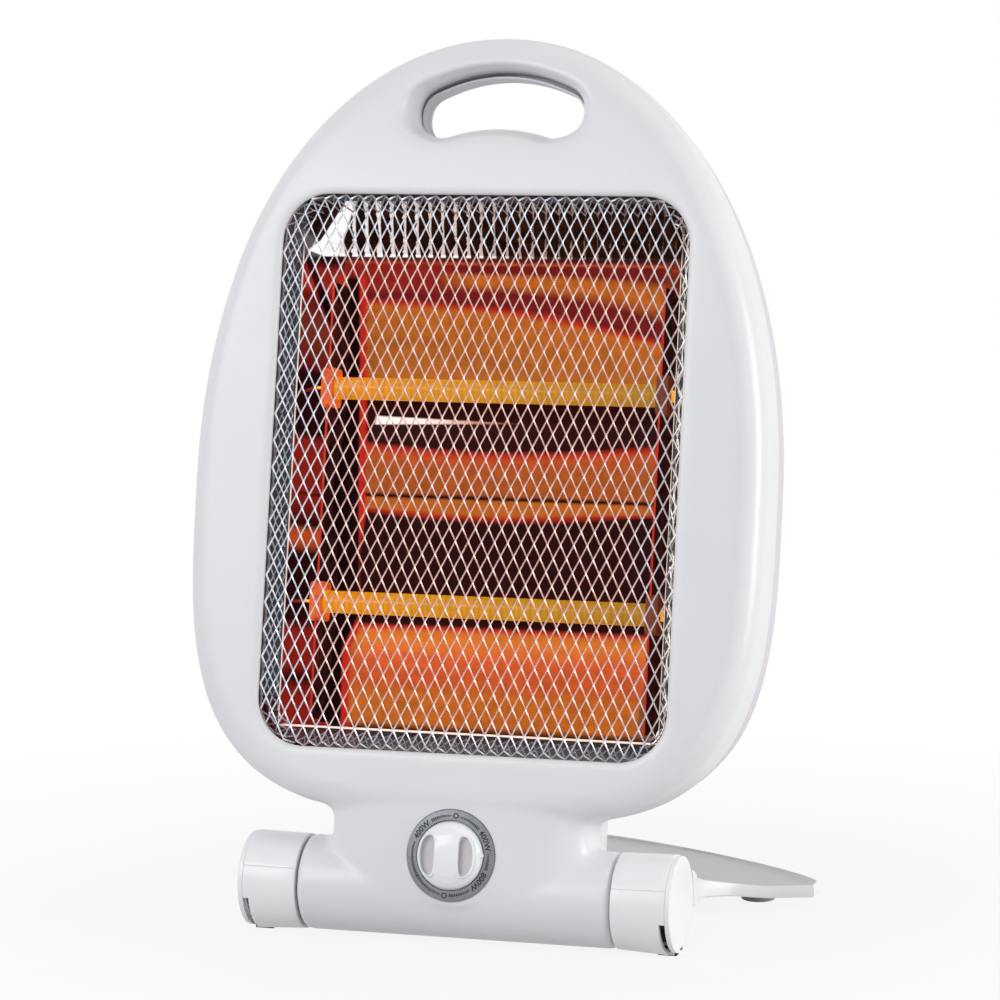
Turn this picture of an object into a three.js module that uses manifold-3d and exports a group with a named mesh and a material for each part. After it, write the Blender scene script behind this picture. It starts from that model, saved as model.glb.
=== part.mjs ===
// A free-standing quartz heater: an egg-shaped body on a horizontal barrel, with two quartz tubes
// behind a grille, a selector knob, and a wide foot that folds about the barrel's ends.
// Lengths are millimetres. The heater stands on z = 0 and its front faces -y. The body's pieces are
// drawn upright about the barrel's axis (x across, y to the back, z up) and then leaned back.
import * as THREE from 'three';
import { mergeVertices } from 'three/addons/utils/BufferGeometryUtils.js';
import Module from 'manifold-3d';

const wasm = await Module();
wasm.setup();

const clearance = 0.3;
const overrun = 4;
const leanBack = THREE.MathUtils.degToRad(10);

// The body's shells
const body = {
  halfWidth: 131, widest: 176.7, top: 378, bottom: 31,
  upperRoundness: 2.1, lowerRoundness: 3.4,
  front: 23, seam: 8, back: 32, edgeRadius: 13, wall: 2.2,
  bendStart: 280, bendDrop: 15.7,
};
const opening = { sideFrame: 37.8, bottom: 60, top: 305.1, radius: 21, lip: 2 };
const openingHalfWidth = body.halfWidth - opening.sideFrame;
const handle = { arcRadius: 58.5, arcTop: 349.6, halfHeight: 11, halfAngle: 0.48, leadIn: 4 };
const rear = {
  rim: 0.6, sideDepth: 18, edgeRadius: 12,
  lowSlopeFrom: 36, lowSlopeDepth: 10, lowSlopeTo: 96,
  highSlopeFrom: 235, highSlopeDepth: 12,
};
const neck = { halfWidth: 58.7, front: 21.3, back: 21, frontTop: 44, backTop: 68, cornerDrop: 9 };
const barrel = { radius: 21, halfLength: 71.3, endWall: 2.6, chamfer: 1.2 };

// Bosses, wells and screws of the casing
const boss = { radius: 4, boreRadius: 1.8, boreDepth: 18 };
const well = { radius: 6, headRadius: 3.6, seatDepth: 3 };
const screw = { radius: 1.5, headRadius: 3.2, headHeight: 2.2, length: 18 };
const bossInset = { side: 17, shoulder: 67, neck: 12.7 };
const bossLevel = { side: 130, shoulder: 332, neck: 30 };

// The grille
const grille = {
  overlap: 3.6, thickness: 1.2, skirt: 1.2, rim: 3,
  cellWidth: 18.4, cellHeight: 36.5, strand: 1.3, seatMargin: 6,
};

// The reflector and its tubes
const sheet = 0.9;
const tray = {
  sideGap: 6.2, rim: 10, bottom: 69, depth: 17, foldHeight: 283, top: 304, flange: 13, flangeEnd: 12,
};
const tube = { radius: 5, wall: 1, upper: 220, lower: 124.3, depth: -3 };
const bracket = { leftInset: 14.5, rightInset: 6.5, bottom: 72, top: 267 };
const trayHalfWidth = openingHalfWidth - tray.sideGap;
const bracketLeft = trayHalfWidth - bracket.leftInset;
const bracketRight = trayHalfWidth - bracket.rightInset;
const trough = { edgeDepth: 1, sheet: 0.8, lowest: 71, parting: 173.5, highest: 279, steps: 9 };
const cap = { height: 18, depth: 14, length: 5.5, outside: 3.5, groove: 1.5, boreDepth: 4 };
const coil = { radius: 2.4, endGap: 2, leadRadius: 0.7, leadLength: 4, tabHeight: 5, tabWidth: 3.4 };

// The selector
const dial = { centre: 15.7, radius: 20, inner: 15.3, front: 23, seat: 21.3, bossDepth: 9 };
const knob = {
  radius: 14.9, height: 9, back: 22, edge: 1.2, wall: 1.8,
  scoopHalfWidth: 3.2, scoopHalfHeight: 8.5, scoopOffset: 8.7, scoopDepth: 4.5,
};
const shaft = { radius: 3, length: 13.5, socket: 4 };
const selector = { halfWidth: 13, depth: 18, bushRadius: 4.6, bushLength: 3.4 };
const nut = { radius: 7, thickness: 1.6 };

// Parts in the barrel and on the reflector's back
const shelf = { halfWidth: 12, height: 2.4, level: -9 };
const tipSwitch = { centre: -44, halfWidth: 10, depth: 14, height: 15 };
const terminals = { centre: 44, halfWidth: 11, depth: 12, height: 12, slotWidth: 2, slotDepth: 4 };
const cutout = { radius: 8, height: 6.5, level: 173, earReach: 12, earHalfWidth: 4 };
const gland = { x: 30, level: 18, radius: 5, collar: 8, collarHeight: 2, lip: 6.4, bore: 3.2 };
const wire = { radius: 0.9, sides: 5, steps: 15, hole: 3 };
const vent = { halfLength: 17, halfHeight: 2, pitchX: 46, pitchZ: 13, rows: 5, lowest: 236 };
const lowVent = { rows: 3, lowest: 118 };

// The hinge and the foot
const hinge = { gap: 0.8, radius: 11, bore: 8, flange: 14, flangeLength: 2.2, reach: 80 };
const washer = { outer: 15.5, thickness: 1.2 };
const spindleNut = { outer: 15, thickness: 3 };
const hub = {
  length: 26.7, wall: 2.6, discThickness: 2.4, innerWall: 2.6,
  slitWidth: 1.6, slitInset: 1.2,
};
const fullTurn = 360;
const hubAngle = { frontParting: 162, rearParting: -12, slitFrom: 186, slitTo: 252 };
const disc = { spigotOuter: 18.1, spigotInner: 16.5, spigotLength: 6 };
const coverScrew = { inset: 11.8, radius: 1.3, headRadius: 2.9, headHeight: 1.4, length: 11, boss: 3.5 };
const pad = {
  frontRadius: 3.5, frontInset: 6.7, recess: 1.7, standOff: 1.5, rearRadius: 8, rearInset: 30, rearY: 122,
};
const foot = {
  depth: 196, tipHalfWidth: 134, armHalfWidth: 90, armEnd: 90, tipFront: 106, tipBack: 116,
  rootDepth: 15, rootTop: 10.5, rootBottom: -3.3, levelFrom: 98, levelTop: -11.5, levelBottom: -16.5,
  slotDepth: 66, skin: 2.4, skirt: 3, rib: 2, dish: 1.5, edge: 1.2,
};
const rearPadX = foot.tipHalfWidth - pad.rearInset;
const dishShare = 0.6;
const ribShare = 0.5;
const ribLengthShare = 0.9;

const smallSides = 10;
const roundSides = 16;
const largeSides = 28;
const frontPlane = -body.front;
const rearSeam = body.seam + clearance;
const hingeHeight = barrel.radius + pad.standOff;

// Flips a closed geometry whose faces point inwards.
function facingOut(geometry) {
  const place = geometry.attributes.position;
  const index = geometry.index.array;
  const [a, b, c] = [new THREE.Vector3(), new THREE.Vector3(), new THREE.Vector3()];
  let volume = 0;
  for (let i = 0; i < index.length; i += 3) {
    a.fromBufferAttribute(place, index[i]);
    b.fromBufferAttribute(place, index[i + 1]);
    c.fromBufferAttribute(place, index[i + 2]);
    volume += a.dot(b.cross(c));
  }
  if (volume < 0) {
    for (let i = 0; i < index.length; i += 3) {
      [index[i + 1], index[i + 2]] = [index[i + 2], index[i + 1]];
    }
  }
  return geometry;
}

// Turns a closed three.js geometry into a solid for joining and cutting.
function solidOf(geometry) {
  const bare = geometry.clone();
  bare.deleteAttribute('normal');
  bare.deleteAttribute('uv');
  const merged = facingOut(mergeVertices(bare));
  const corners = merged.index.array;
  const triVerts = [];
  for (let i = 0; i < corners.length; i += 3) {
    const [p, q, r] = [corners[i], corners[i + 1], corners[i + 2]];
    if (p !== q && q !== r && r !== p) triVerts.push(p, q, r);
  }
  return new wasm.Manifold(new wasm.Mesh({
    numProp: 3,
    vertProperties: merged.attributes.position.array,
    triVerts: new Uint32Array(triVerts),
  }));
}

function geometryOf(solid) {
  const mesh = solid.getMesh();
  const geometry = new THREE.BufferGeometry();
  geometry.setAttribute('position', new THREE.BufferAttribute(mesh.vertProperties, 3));
  geometry.setIndex(new THREE.BufferAttribute(mesh.triVerts, 1));
  geometry.computeVertexNormals();
  return geometry;
}

function joined(solids) {
  return solids.reduce((whole, next) => whole.add(next));
}

function box(x0, x1, y0, y1, z0, z1) {
  const geometry = new THREE.BoxGeometry(x1 - x0, y1 - y0, z1 - z0);
  return solidOf(geometry.translate((x0 + x1) / 2, (y0 + y1) / 2, (z0 + z1) / 2));
}

function rodX(radius, x0, x1, y, z, sides = roundSides) {
  const geometry = new THREE.CylinderGeometry(radius, radius, x1 - x0, sides);
  return solidOf(geometry.rotateZ(Math.PI / 2).translate((x0 + x1) / 2, y, z));
}

function rodY(radius, y0, y1, x, z, sides = roundSides) {
  const geometry = new THREE.CylinderGeometry(radius, radius, y1 - y0, sides);
  return solidOf(geometry.translate(x, (y0 + y1) / 2, z));
}

function rodZ(radius, z0, z1, x, y, sides = roundSides) {
  const geometry = new THREE.CylinderGeometry(radius, radius, z1 - z0, sides);
  return solidOf(geometry.rotateX(Math.PI / 2).translate(x, y, (z0 + z1) / 2));
}

function extruded(outline, length) {
  const shape = new THREE.Shape(outline.map(([a, b]) => new THREE.Vector2(a, b)));
  return new THREE.ExtrudeGeometry(shape, { depth: length, bevelEnabled: false, steps: 1 });
}

// A prism whose outline is given as [x, z], from y0 to y1.
function prismY(outline, y0, y1) {
  return solidOf(extruded(outline, y1 - y0).rotateX(Math.PI / 2).translate(0, y1, 0));
}

// A prism whose outline is given as [y, z], from x0 to x1.
function prismX(outline, x0, x1) {
  const turn = new THREE.Matrix4().makeBasis(
    new THREE.Vector3(0, 1, 0), new THREE.Vector3(0, 0, 1), new THREE.Vector3(1, 0, 0));
  return solidOf(extruded(outline, x1 - x0).applyMatrix4(turn).translate(x0, 0, 0));
}

// A prism whose outline is given as [x, y], from z0 to z1.
function prismZ(outline, z0, z1) {
  return solidOf(extruded(outline, z1 - z0).translate(0, 0, z0));
}

// A closed skin through rings of [x, y, z] points, with a fan over each end.
function loft(rings) {
  const count = rings[0].length;
  const points = rings.flat();
  const index = [];
  for (let ring = 0; ring < rings.length - 1; ring += 1) {
    for (let i = 0; i < count; i += 1) {
      const a = ring * count + i;
      const b = ring * count + (i + 1) % count;
      index.push(a, b, a + count, b, b + count, a + count);
    }
  }
  [rings[0], rings.at(-1)].forEach((ring, end) => {
    const first = end * (rings.length - 1) * count;
    points.push([0, 1, 2].map((axis) => ring.reduce((sum, p) => sum + p[axis], 0) / count));
    for (let i = 0; i < count; i += 1) {
      const pair = [first + i, first + (i + 1) % count];
      index.push(points.length - 1, pair[1 - end], pair[end]);
    }
  });
  const geometry = new THREE.BufferGeometry();
  geometry.setAttribute('position', new THREE.Float32BufferAttribute(points.flat(), 3));
  geometry.setIndex(index);
  return solidOf(geometry);
}

// A rectangle with round corners as [x, z] points, with its straight sides divided.
function roundedOutline(halfWidth, bottom, top, radius, cornerSteps, sideSteps) {
  const centres = [
    [halfWidth - radius, top - radius], [radius - halfWidth, top - radius],
    [radius - halfWidth, bottom + radius], [halfWidth - radius, bottom + radius],
  ];
  const points = [];
  centres.forEach(([x, z], quarter) => {
    for (let step = 0; step <= cornerSteps; step += 1) {
      const angle = (quarter + step / cornerSteps) * Math.PI / 2;
      points.push([x + radius * Math.cos(angle), z + radius * Math.sin(angle)]);
    }
    const [fromX, fromZ] = points.at(-1);
    const next = centres[(quarter + 1) % 4];
    const turn = (quarter + 1) * Math.PI / 2;
    const [toX, toZ] = [next[0] + radius * Math.cos(turn), next[1] + radius * Math.sin(turn)];
    for (let step = 1; step < sideSteps; step += 1) {
      const share = step / sideSteps;
      points.push([fromX + (toX - fromX) * share, fromZ + (toZ - fromZ) * share]);
    }
  });
  return points;
}

// The body's egg outline: two half superellipses that meet at its widest level.
const centreLevel = (opening.bottom + opening.top) / 2;
const openingOutline = (grow) => roundedOutline(
  openingHalfWidth + grow, opening.bottom - grow, opening.top + grow, opening.radius + grow, 4, 6);

function eggHalf(z) {
  return z > body.widest
    ? { height: body.top - body.widest, power: body.upperRoundness }
    : { height: body.widest - body.bottom, power: body.lowerRoundness };
}

function eggSpot([towardsX, towardsZ]) {
  const length = Math.hypot(towardsX, towardsZ);
  let near = 0;
  let far = body.top;
  for (let round = 0; round < 40; round += 1) {
    const reach = (near + far) / 2;
    const x = towardsX / length * reach;
    const z = centreLevel + towardsZ / length * reach;
    const { height, power } = eggHalf(z);
    const level = Math.abs(x / body.halfWidth) ** power + Math.abs((z - body.widest) / height) ** power;
    if (level < 1) near = reach;
    else far = reach;
  }
  return [towardsX / length * near, centreLevel + towardsZ / length * near];
}

function eggNormal([x, z]) {
  const { height, power } = eggHalf(z);
  const slopeX = Math.sign(x) * Math.abs(x / body.halfWidth) ** (power - 1) / body.halfWidth;
  const rise = z - body.widest;
  const slopeZ = Math.sign(rise) * Math.abs(rise / height) ** (power - 1) / height;
  const length = Math.hypot(slopeX, slopeZ);
  return [slopeX / length, slopeZ / length];
}

const eggSpots = openingOutline(opening.lip).map(([x, z]) => eggSpot([x, z - centreLevel]));
const eggNormals = eggSpots.map(eggNormal);
const eggOutline = (inset) => eggSpots.map(([x, z], i) => [
  x - inset * eggNormals[i][0], z - inset * eggNormals[i][1]]);

// The front face leans back towards the top of the handle.
function bent([x, y, z]) {
  const share = Math.max(0, (z - body.bendStart) / (body.top - body.bendStart));
  const drop = body.bendDrop * share ** 2;
  return [x, y + drop * (body.seam - y) / (body.seam - frontPlane), z];
}

const atDepth = (outline, y) => outline.map(([x, z]) => [x, y, z]);

function between(outer, inner, share) {
  return outer.map(([x, z], i) => [x + (inner[i][0] - x) * share, z + (inner[i][1] - z) * share]);
}

// The front shell's skin at a given distance inside its outer surface, closed at the seam.
function frontBody(inset, end) {
  const radius = body.edgeRadius - inset;
  const face = frontPlane + inset;
  const rings = [end, frontPlane + body.edgeRadius].map((y) => atDepth(eggOutline(inset), y));
  const roundSteps = inset ? 2 : 4;
  for (let step = 1; step <= roundSteps; step += 1) {
    const angle = step / roundSteps * Math.PI / 2;
    const outline = eggOutline(body.edgeRadius - radius * Math.cos(angle));
    rings.push(atDepth(outline, frontPlane + body.edgeRadius - radius * Math.sin(angle)));
  }
  const edge = eggOutline(body.edgeRadius);
  const rim = openingOutline(opening.lip);
  const faceShares = inset ? [1 / 2, 1] : [1 / 3, 2 / 3, 1];
  faceShares.forEach((share) => rings.push(atDepth(between(edge, rim, share), face)));
  return loft(rings.map((ring) => ring.map(bent)));
}

// The rear shell's skin at a given distance inside its outer surface.
function rearBody(inset, start) {
  const radius = rear.edgeRadius - inset;
  const depthOf = (angle) => body.back - rear.edgeRadius + radius * Math.sin(angle);
  const rings = [start, rear.sideDepth].map((y) => atDepth(eggOutline(rear.rim + inset), y));
  const roundSteps = inset ? 2 : 3;
  for (let step = 1; step <= roundSteps; step += 1) {
    const angle = step / roundSteps * Math.PI / 2;
    const outline = eggOutline(rear.rim + rear.edgeRadius - radius * Math.cos(angle));
    rings.push(atDepth(outline, depthOf(angle)));
  }
  const far = body.back + overrun;
  const low = [
    [rear.lowSlopeDepth - inset, rear.lowSlopeFrom], [body.back - inset, rear.lowSlopeTo],
    [far, rear.lowSlopeTo], [far, -overrun], [rear.lowSlopeDepth - inset, -overrun],
  ];
  const high = [
    [body.back - inset, rear.highSlopeFrom], [rear.highSlopeDepth - inset, body.top],
    [rear.highSlopeDepth - inset, body.top + overrun], [far, body.top + overrun],
    [far, rear.highSlopeFrom],
  ];
  const reach = body.halfWidth + overrun;
  return loft(rings).subtract(prismX(low, -reach, reach)).subtract(prismX(high, -reach, reach));
}

function neckOutline(inset) {
  const half = neck.halfWidth - inset;
  const front = -neck.front + inset;
  const widthShares = [1, 0.85, 0.6, 0.3];
  const side = widthShares.map((share) => [half * share, front + neck.cornerDrop * share ** 6]);
  const mirrored = side.map(([x, y]) => [-x, y]).reverse();
  return [...side, ...mirrored, [-half, neck.back - inset], [half, neck.back - inset]];
}

function lathedBarrel(radius, halfLength, chamfer) {
  const profile = [
    [0, -halfLength], [radius - chamfer, -halfLength], [radius, chamfer - halfLength],
    [radius, halfLength - chamfer], [radius - chamfer, halfLength], [0, halfLength],
  ].map(([r, along]) => new THREE.Vector2(r, along));
  return solidOf(new THREE.LatheGeometry(profile, largeSides).rotateZ(Math.PI / 2));
}

const barrelRoom = () => lathedBarrel(
  barrel.radius - body.wall, barrel.halfLength - barrel.endWall, body.wall / 2);
const neckRoom = () => prismZ(neckOutline(body.wall), -overrun, neck.backTop);
const spindleBore = () => rodX(
  hinge.radius + clearance, -barrel.halfLength - overrun, barrel.halfLength + overrun, 0, 0);

// The handle opening: a slot along an arc, grown evenly by a given amount.
function slotOutline(grow) {
  const half = handle.halfHeight + grow;
  const centre = handle.arcTop - handle.arcRadius;
  const points = [];
  const sweep = (cx, cz, radius, from, to, steps) => {
    for (let step = 0; step <= steps; step += 1) {
      const angle = from + (to - from) * step / steps;
      points.push([cx + radius * Math.cos(angle), cz + radius * Math.sin(angle)]);
    }
  };
  const [start, end] = [Math.PI / 2 - handle.halfAngle, Math.PI / 2 + handle.halfAngle];
  const spot = (angle) => [
    handle.arcRadius * Math.cos(angle), centre + handle.arcRadius * Math.sin(angle)];
  const endStep = Math.PI / 6;
  sweep(0, centre, handle.arcRadius + half, start, end, 6);
  sweep(...spot(end), half, end + endStep, end + Math.PI - endStep, 4);
  sweep(0, centre, handle.arcRadius - half, end, start, 6);
  sweep(...spot(start), half, start - Math.PI + endStep, start - endStep, 4);
  return points;
}

function handleCut() {
  const rings = [atDepth(slotOutline(handle.leadIn), frontPlane - overrun)];
  for (let step = 0; step <= 3; step += 1) {
    const angle = step / 3 * Math.PI / 2;
    const outline = slotOutline(handle.leadIn * (1 - Math.sin(angle)));
    rings.push(atDepth(outline, frontPlane + handle.leadIn * (1 - Math.cos(angle))));
  }
  rings.push(atDepth(slotOutline(0), body.seam + overrun));
  return loft(rings.map((ring) => ring.map(bent)));
}

// Every mirrored pair of fastening spots, as [name, x, z].
const casingSpots = Object.entries(bossInset).flatMap(([name, inset]) => {
  const x = (name === 'neck' ? neck.halfWidth : body.halfWidth) - inset;
  return [[`${name}_left`, -x, bossLevel[name]], [`${name}_right`, x, bossLevel[name]]];
});

// The grille lies flat behind the face, so its seat is as deep as the bent face needs at its top.
const seatBend = bent([0, frontPlane, opening.top + grille.seatMargin])[1] - frontPlane;
const grilleSeat = frontPlane + body.wall + seatBend;
const grilleFront = grilleSeat + clearance;

function frontCasing() {
  const outer = joined([
    frontBody(0, body.seam),
    prismZ(neckOutline(0), 0, neck.frontTop),
    lathedBarrel(barrel.radius, barrel.halfLength, barrel.chamfer),
  ]);
  const hollow = joined([frontBody(body.wall, body.seam + overrun), neckRoom(), barrelRoom()]);
  const posts = casingSpots.map(([, x, z]) => rodY(boss.radius, frontPlane, body.seam, x, z, smallSides));
  const sleeve = prismY(slotOutline(body.wall), frontPlane - overrun, body.seam);
  const dialBoss = rodY(
    dial.radius + clearance, -dial.seat, dial.bossDepth - dial.seat, 0, dial.centre, largeSides);
  const shelves = [tipSwitch.centre, terminals.centre].map((x) => box(
    x - shelf.halfWidth, x + shelf.halfWidth, -barrel.radius, body.seam,
    shelf.level - shelf.height, shelf.level));
  const seatRim = prismY(openingOutline(grille.seatMargin), frontPlane, grilleSeat);
  const fillings = joined([...posts, sleeve, ...shelves, seatRim]).intersect(outer);
  const shell = outer.subtract(hollow).add(fillings).add(dialBoss);
  const edge = opening.lip;
  const openingCut = loft([
    atDepth(openingOutline(edge), frontPlane - overrun),
    atDepth(openingOutline(edge), frontPlane),
    atDepth(openingOutline(0), frontPlane + edge),
    atDepth(openingOutline(0), grilleSeat + overrun),
  ].map((ring) => ring.map(bent)));
  const dialRoom = rodY(
    nut.radius + clearance, body.wall - dial.seat, dial.bossDepth - dial.seat + overrun, 0, dial.centre);
  const shaftHole = rodY(
    shaft.radius + clearance, -dial.seat - overrun, overrun - dial.seat, 0, dial.centre);
  const bores = casingSpots.map(([, x, z]) => rodY(
    boss.boreRadius, body.seam - boss.boreDepth - clearance, body.seam + overrun, x, z, smallSides));
  const reach = body.halfWidth + overrun;
  const behindSeam = box(-reach, reach, body.seam, body.back, -reach, body.top + overrun);
  return [openingCut, handleCut(), dialRoom, shaftHole, spindleBore(), behindSeam, ...bores]
    .reduce((whole, cut) => whole.subtract(cut), shell);
}

function ventCuts() {
  const cuts = [];
  const slot = (x, z) => box(
    x - vent.halfLength, x + vent.halfLength, rearSeam + body.wall, body.back + overrun,
    z - vent.halfHeight, z + vent.halfHeight);
  for (let row = 0; row < vent.rows; row += 1) {
    for (let column = -1; column <= 1; column += 1) {
      cuts.push(slot(column * vent.pitchX, vent.lowest + row * vent.pitchZ));
    }
  }
  for (let row = 0; row < lowVent.rows; row += 1) {
    for (let column = -1; column <= 1; column += 1) {
      cuts.push(slot(column * vent.pitchX, lowVent.lowest + row * vent.pitchZ));
    }
  }
  return joined(cuts);
}

function rearCasing() {
  const outer = joined([
    rearBody(0, rearSeam),
    prismZ(neckOutline(0), 0, neck.backTop),
    lathedBarrel(barrel.radius, barrel.halfLength, barrel.chamfer),
  ]);
  const hollow = joined([rearBody(body.wall, rearSeam - overrun), neckRoom(), barrelRoom()]);
  const wells = casingSpots.map(([, x, z]) => rodY(well.radius, rearSeam, body.back, x, z, smallSides));
  const sleeve = prismY(slotOutline(body.wall), rearSeam, body.back);
  const shell = outer.subtract(hollow).add(joined([...wells, sleeve]).intersect(outer));
  const seat = rearSeam + well.seatDepth;
  const heads = casingSpots.map(([, x, z]) => rodY(
    well.headRadius, seat, body.back + overrun, x, z, smallSides));
  const bores = casingSpots.map(([, x, z]) => rodY(
    boss.boreRadius, rearSeam - overrun, seat + overrun, x, z, smallSides));
  const handleHole = prismY(slotOutline(0), rearSeam - overrun, body.back + overrun);
  const glandHole = rodY(gland.radius + clearance, neck.back - body.wall - overrun, neck.back + overrun,
    gland.x, gland.level);
  const reach = body.halfWidth + overrun;
  const beforeSeam = box(-reach, reach, -body.front - overrun, rearSeam, -reach, body.top + overrun);
  return [handleHole, glandHole, spindleBore(), beforeSeam, ventCuts(), ...heads, ...bores]
    .reduce((whole, cut) => whole.subtract(cut), shell);
}

// The expanded-metal grille: crossing strands in a frame whose edge is bent back.
function grillePiece() {
  const grow = grille.overlap;
  const outline = (inset) => roundedOutline(
    openingHalfWidth + grow - inset, opening.bottom - grow + inset, opening.top + grow - inset,
    opening.radius + grow - inset, 4, 1);
  const back = grilleFront + grille.thickness;
  const area = prismY(outline(0), grilleFront, back);
  const hole = prismY(outline(grille.rim), grilleFront - overrun, back + overrun);
  const height = opening.top - opening.bottom + 2 * grow;
  const slant = Math.atan2(grille.cellWidth, grille.cellHeight);
  const length = height / Math.cos(slant) + 2 * overrun;
  const run = height * grille.cellWidth / grille.cellHeight;
  const count = Math.floor((openingHalfWidth + grow + run / 2) / grille.cellWidth);
  const strands = [];
  for (let i = -count; i <= count; i += 1) {
    [-slant, slant].forEach((angle) => {
      const bar = new THREE.BoxGeometry(grille.strand, grille.thickness, length);
      bar.rotateY(angle).translate(i * grille.cellWidth, (grilleFront + back) / 2, centreLevel);
      strands.push(solidOf(bar));
    });
  }
  const skirtEnd = -tray.rim - 2 * clearance;
  const skirt = prismY(outline(0), grilleFront, skirtEnd)
    .subtract(prismY(outline(grille.skirt), grilleFront - overrun, skirtEnd + overrun));
  return joined([area.subtract(hole), joined(strands).intersect(area), skirt]);
}

// The polished reflector tray, its end plates and the brackets that carry the tubes.
function reflectorTray() {
  const profile = [
    [-tray.rim, tray.bottom - sheet], [tray.depth + sheet, tray.bottom - sheet],
    [tray.depth + sheet, tray.foldHeight + sheet], [-tray.rim, tray.top + sheet],
    [-tray.rim, tray.top], [tray.depth, tray.foldHeight],
    [tray.depth, tray.bottom], [-tray.rim, tray.bottom],
  ];
  return prismX(profile, -trayHalfWidth, trayHalfWidth);
}

function reflectorEnd(side) {
  const margin = 2 * sheet;
  const profile = [
    [-tray.rim, tray.bottom - margin], [tray.depth + margin, tray.bottom - margin],
    [tray.depth + margin, tray.foldHeight + margin], [-tray.rim, tray.top + margin],
  ];
  const inner = trayHalfWidth + clearance;
  const [x0, x1] = side < 0 ? [-inner - sheet, -inner] : [inner, inner + sheet];
  const [f0, f1] = side < 0 ? [-inner - tray.flange, -inner] : [inner, inner + tray.flange];
  const flange = box(f0, f1, -tray.rim - clearance, sheet - tray.rim - clearance,
    tray.bottom + tray.flangeEnd, tray.foldHeight - tray.flangeEnd);
  const holes = [tube.upper, tube.lower].map((z) => rodX(
    wire.hole, x0 - overrun, x1 + overrun, tube.depth, z, smallSides));
  return holes.reduce((whole, hole) => whole.subtract(hole), prismX(profile, x0, x1).add(flange));
}

function tubeBracket(side) {
  const x = side * (side < 0 ? bracketLeft : bracketRight);
  const plate = box(x - sheet / 2, x + sheet / 2, -tray.rim + clearance, tray.depth - clearance,
    bracket.bottom, bracket.top);
  const notchHalf = cap.height / 2 - cap.groove + clearance;
  const notches = [tube.upper, tube.lower].map((z) => box(
    x - sheet, x + sheet, -tray.rim - overrun, tube.depth + cap.depth / 2 - cap.groove + clearance,
    z - notchHalf, z + notchHalf));
  return notches.reduce((whole, notch) => whole.subtract(notch), plate);
}

const troughEnds = [-bracketLeft + sheet / 2 + clearance, bracketRight - sheet / 2 - clearance];

function troughPiece(low, high) {
  const deepest = tray.depth - clearance - trough.sheet;
  const centre = (low + high) / 2;
  const inner = [];
  for (let step = 0; step <= trough.steps; step += 1) {
    const share = 2 * step / trough.steps - 1;
    const y = trough.edgeDepth + (deepest - trough.edgeDepth) * (1 - share ** 2);
    inner.push([y, centre + share * (high - low) / 2]);
  }
  const outer = inner.map(([y, z]) => [y + trough.sheet, z]).reverse();
  return prismX([...inner, ...outer], ...troughEnds);
}

// The quartz tubes, their ceramic caps and the coils with their leads.
const capSpan = (side) => {
  const x = side * (side < 0 ? bracketLeft : bracketRight);
  const outside = x + side * cap.outside;
  return [outside, outside - side * cap.length].sort((a, b) => a - b);
};

function ceramicCap(side, level) {
  const [x0, x1] = capSpan(side);
  const x = side * (side < 0 ? bracketLeft : bracketRight);
  const [y0, y1] = [tube.depth - cap.depth / 2, tube.depth + cap.depth / 2];
  const [z0, z1] = [level - cap.height / 2, level + cap.height / 2];
  const block = box(x0, x1, y0, y1, z0, z1);
  const slotHalf = sheet / 2 + clearance;
  const ring = box(x - slotHalf, x + slotHalf, y0 - overrun, y1 + overrun, z0 - overrun, z1 + overrun)
    .subtract(box(
      x - sheet, x + sheet, y0 - 2 * overrun, y1 - cap.groove, z0 + cap.groove, z1 - cap.groove));
  const bore = side < 0
    ? rodX(tube.radius + clearance, x1 - cap.boreDepth, x1 + overrun, tube.depth, level, 16)
    : rodX(tube.radius + clearance, x0 - overrun, x0 + cap.boreDepth, tube.depth, level, 16);
  const leadHole = rodX(coil.leadRadius + clearance, x0 - overrun, x1 + overrun, tube.depth, level, 8);
  return block.subtract(ring).subtract(bore).subtract(leadHole);
}

const tubeEnds = [
  capSpan(-1)[1] - cap.boreDepth + clearance, capSpan(1)[0] + cap.boreDepth - clearance];

function quartzTube(level) {
  const [x0, x1] = tubeEnds;
  return rodX(tube.radius, x0, x1, tube.depth, level, 16)
    .subtract(rodX(tube.radius - tube.wall, x0 - overrun, x1 + overrun, tube.depth, level, 16));
}

function heatingCoil(level) {
  const [x0, x1] = [tubeEnds[0] + coil.endGap, tubeEnds[1] - coil.endGap];
  const leads = [capSpan(-1)[0] - coil.leadLength, capSpan(1)[1] + clearance + sheet];
  const tab = (x) => box(x - sheet / 2, x + sheet / 2, tube.depth - coil.tabWidth / 2,
    tube.depth + coil.tabWidth / 2, level - coil.tabHeight / 2, level + coil.tabHeight / 2);
  return joined([
    rodX(coil.radius, x0, x1, tube.depth, level, 12),
    rodX(coil.leadRadius, leads[0], leads[1], tube.depth, level, 6),
    tab(capSpan(-1)[0] - clearance - sheet / 2), tab(capSpan(1)[1] + clearance + sheet / 2),
  ]);
}

// The dial ring, the knob with its two finger scoops, and the rotary switch behind them.
function dialRing() {
  return rodY(dial.radius, -dial.front, -dial.seat - clearance, 0, dial.centre, largeSides)
    .subtract(rodY(dial.inner, -dial.front - overrun, overrun - dial.seat, 0, dial.centre, largeSides));
}

const knobFront = -knob.back - knob.height;
const shaftFront = knobFront + knob.wall + clearance;
const shaftBack = shaftFront + shaft.length;

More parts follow.
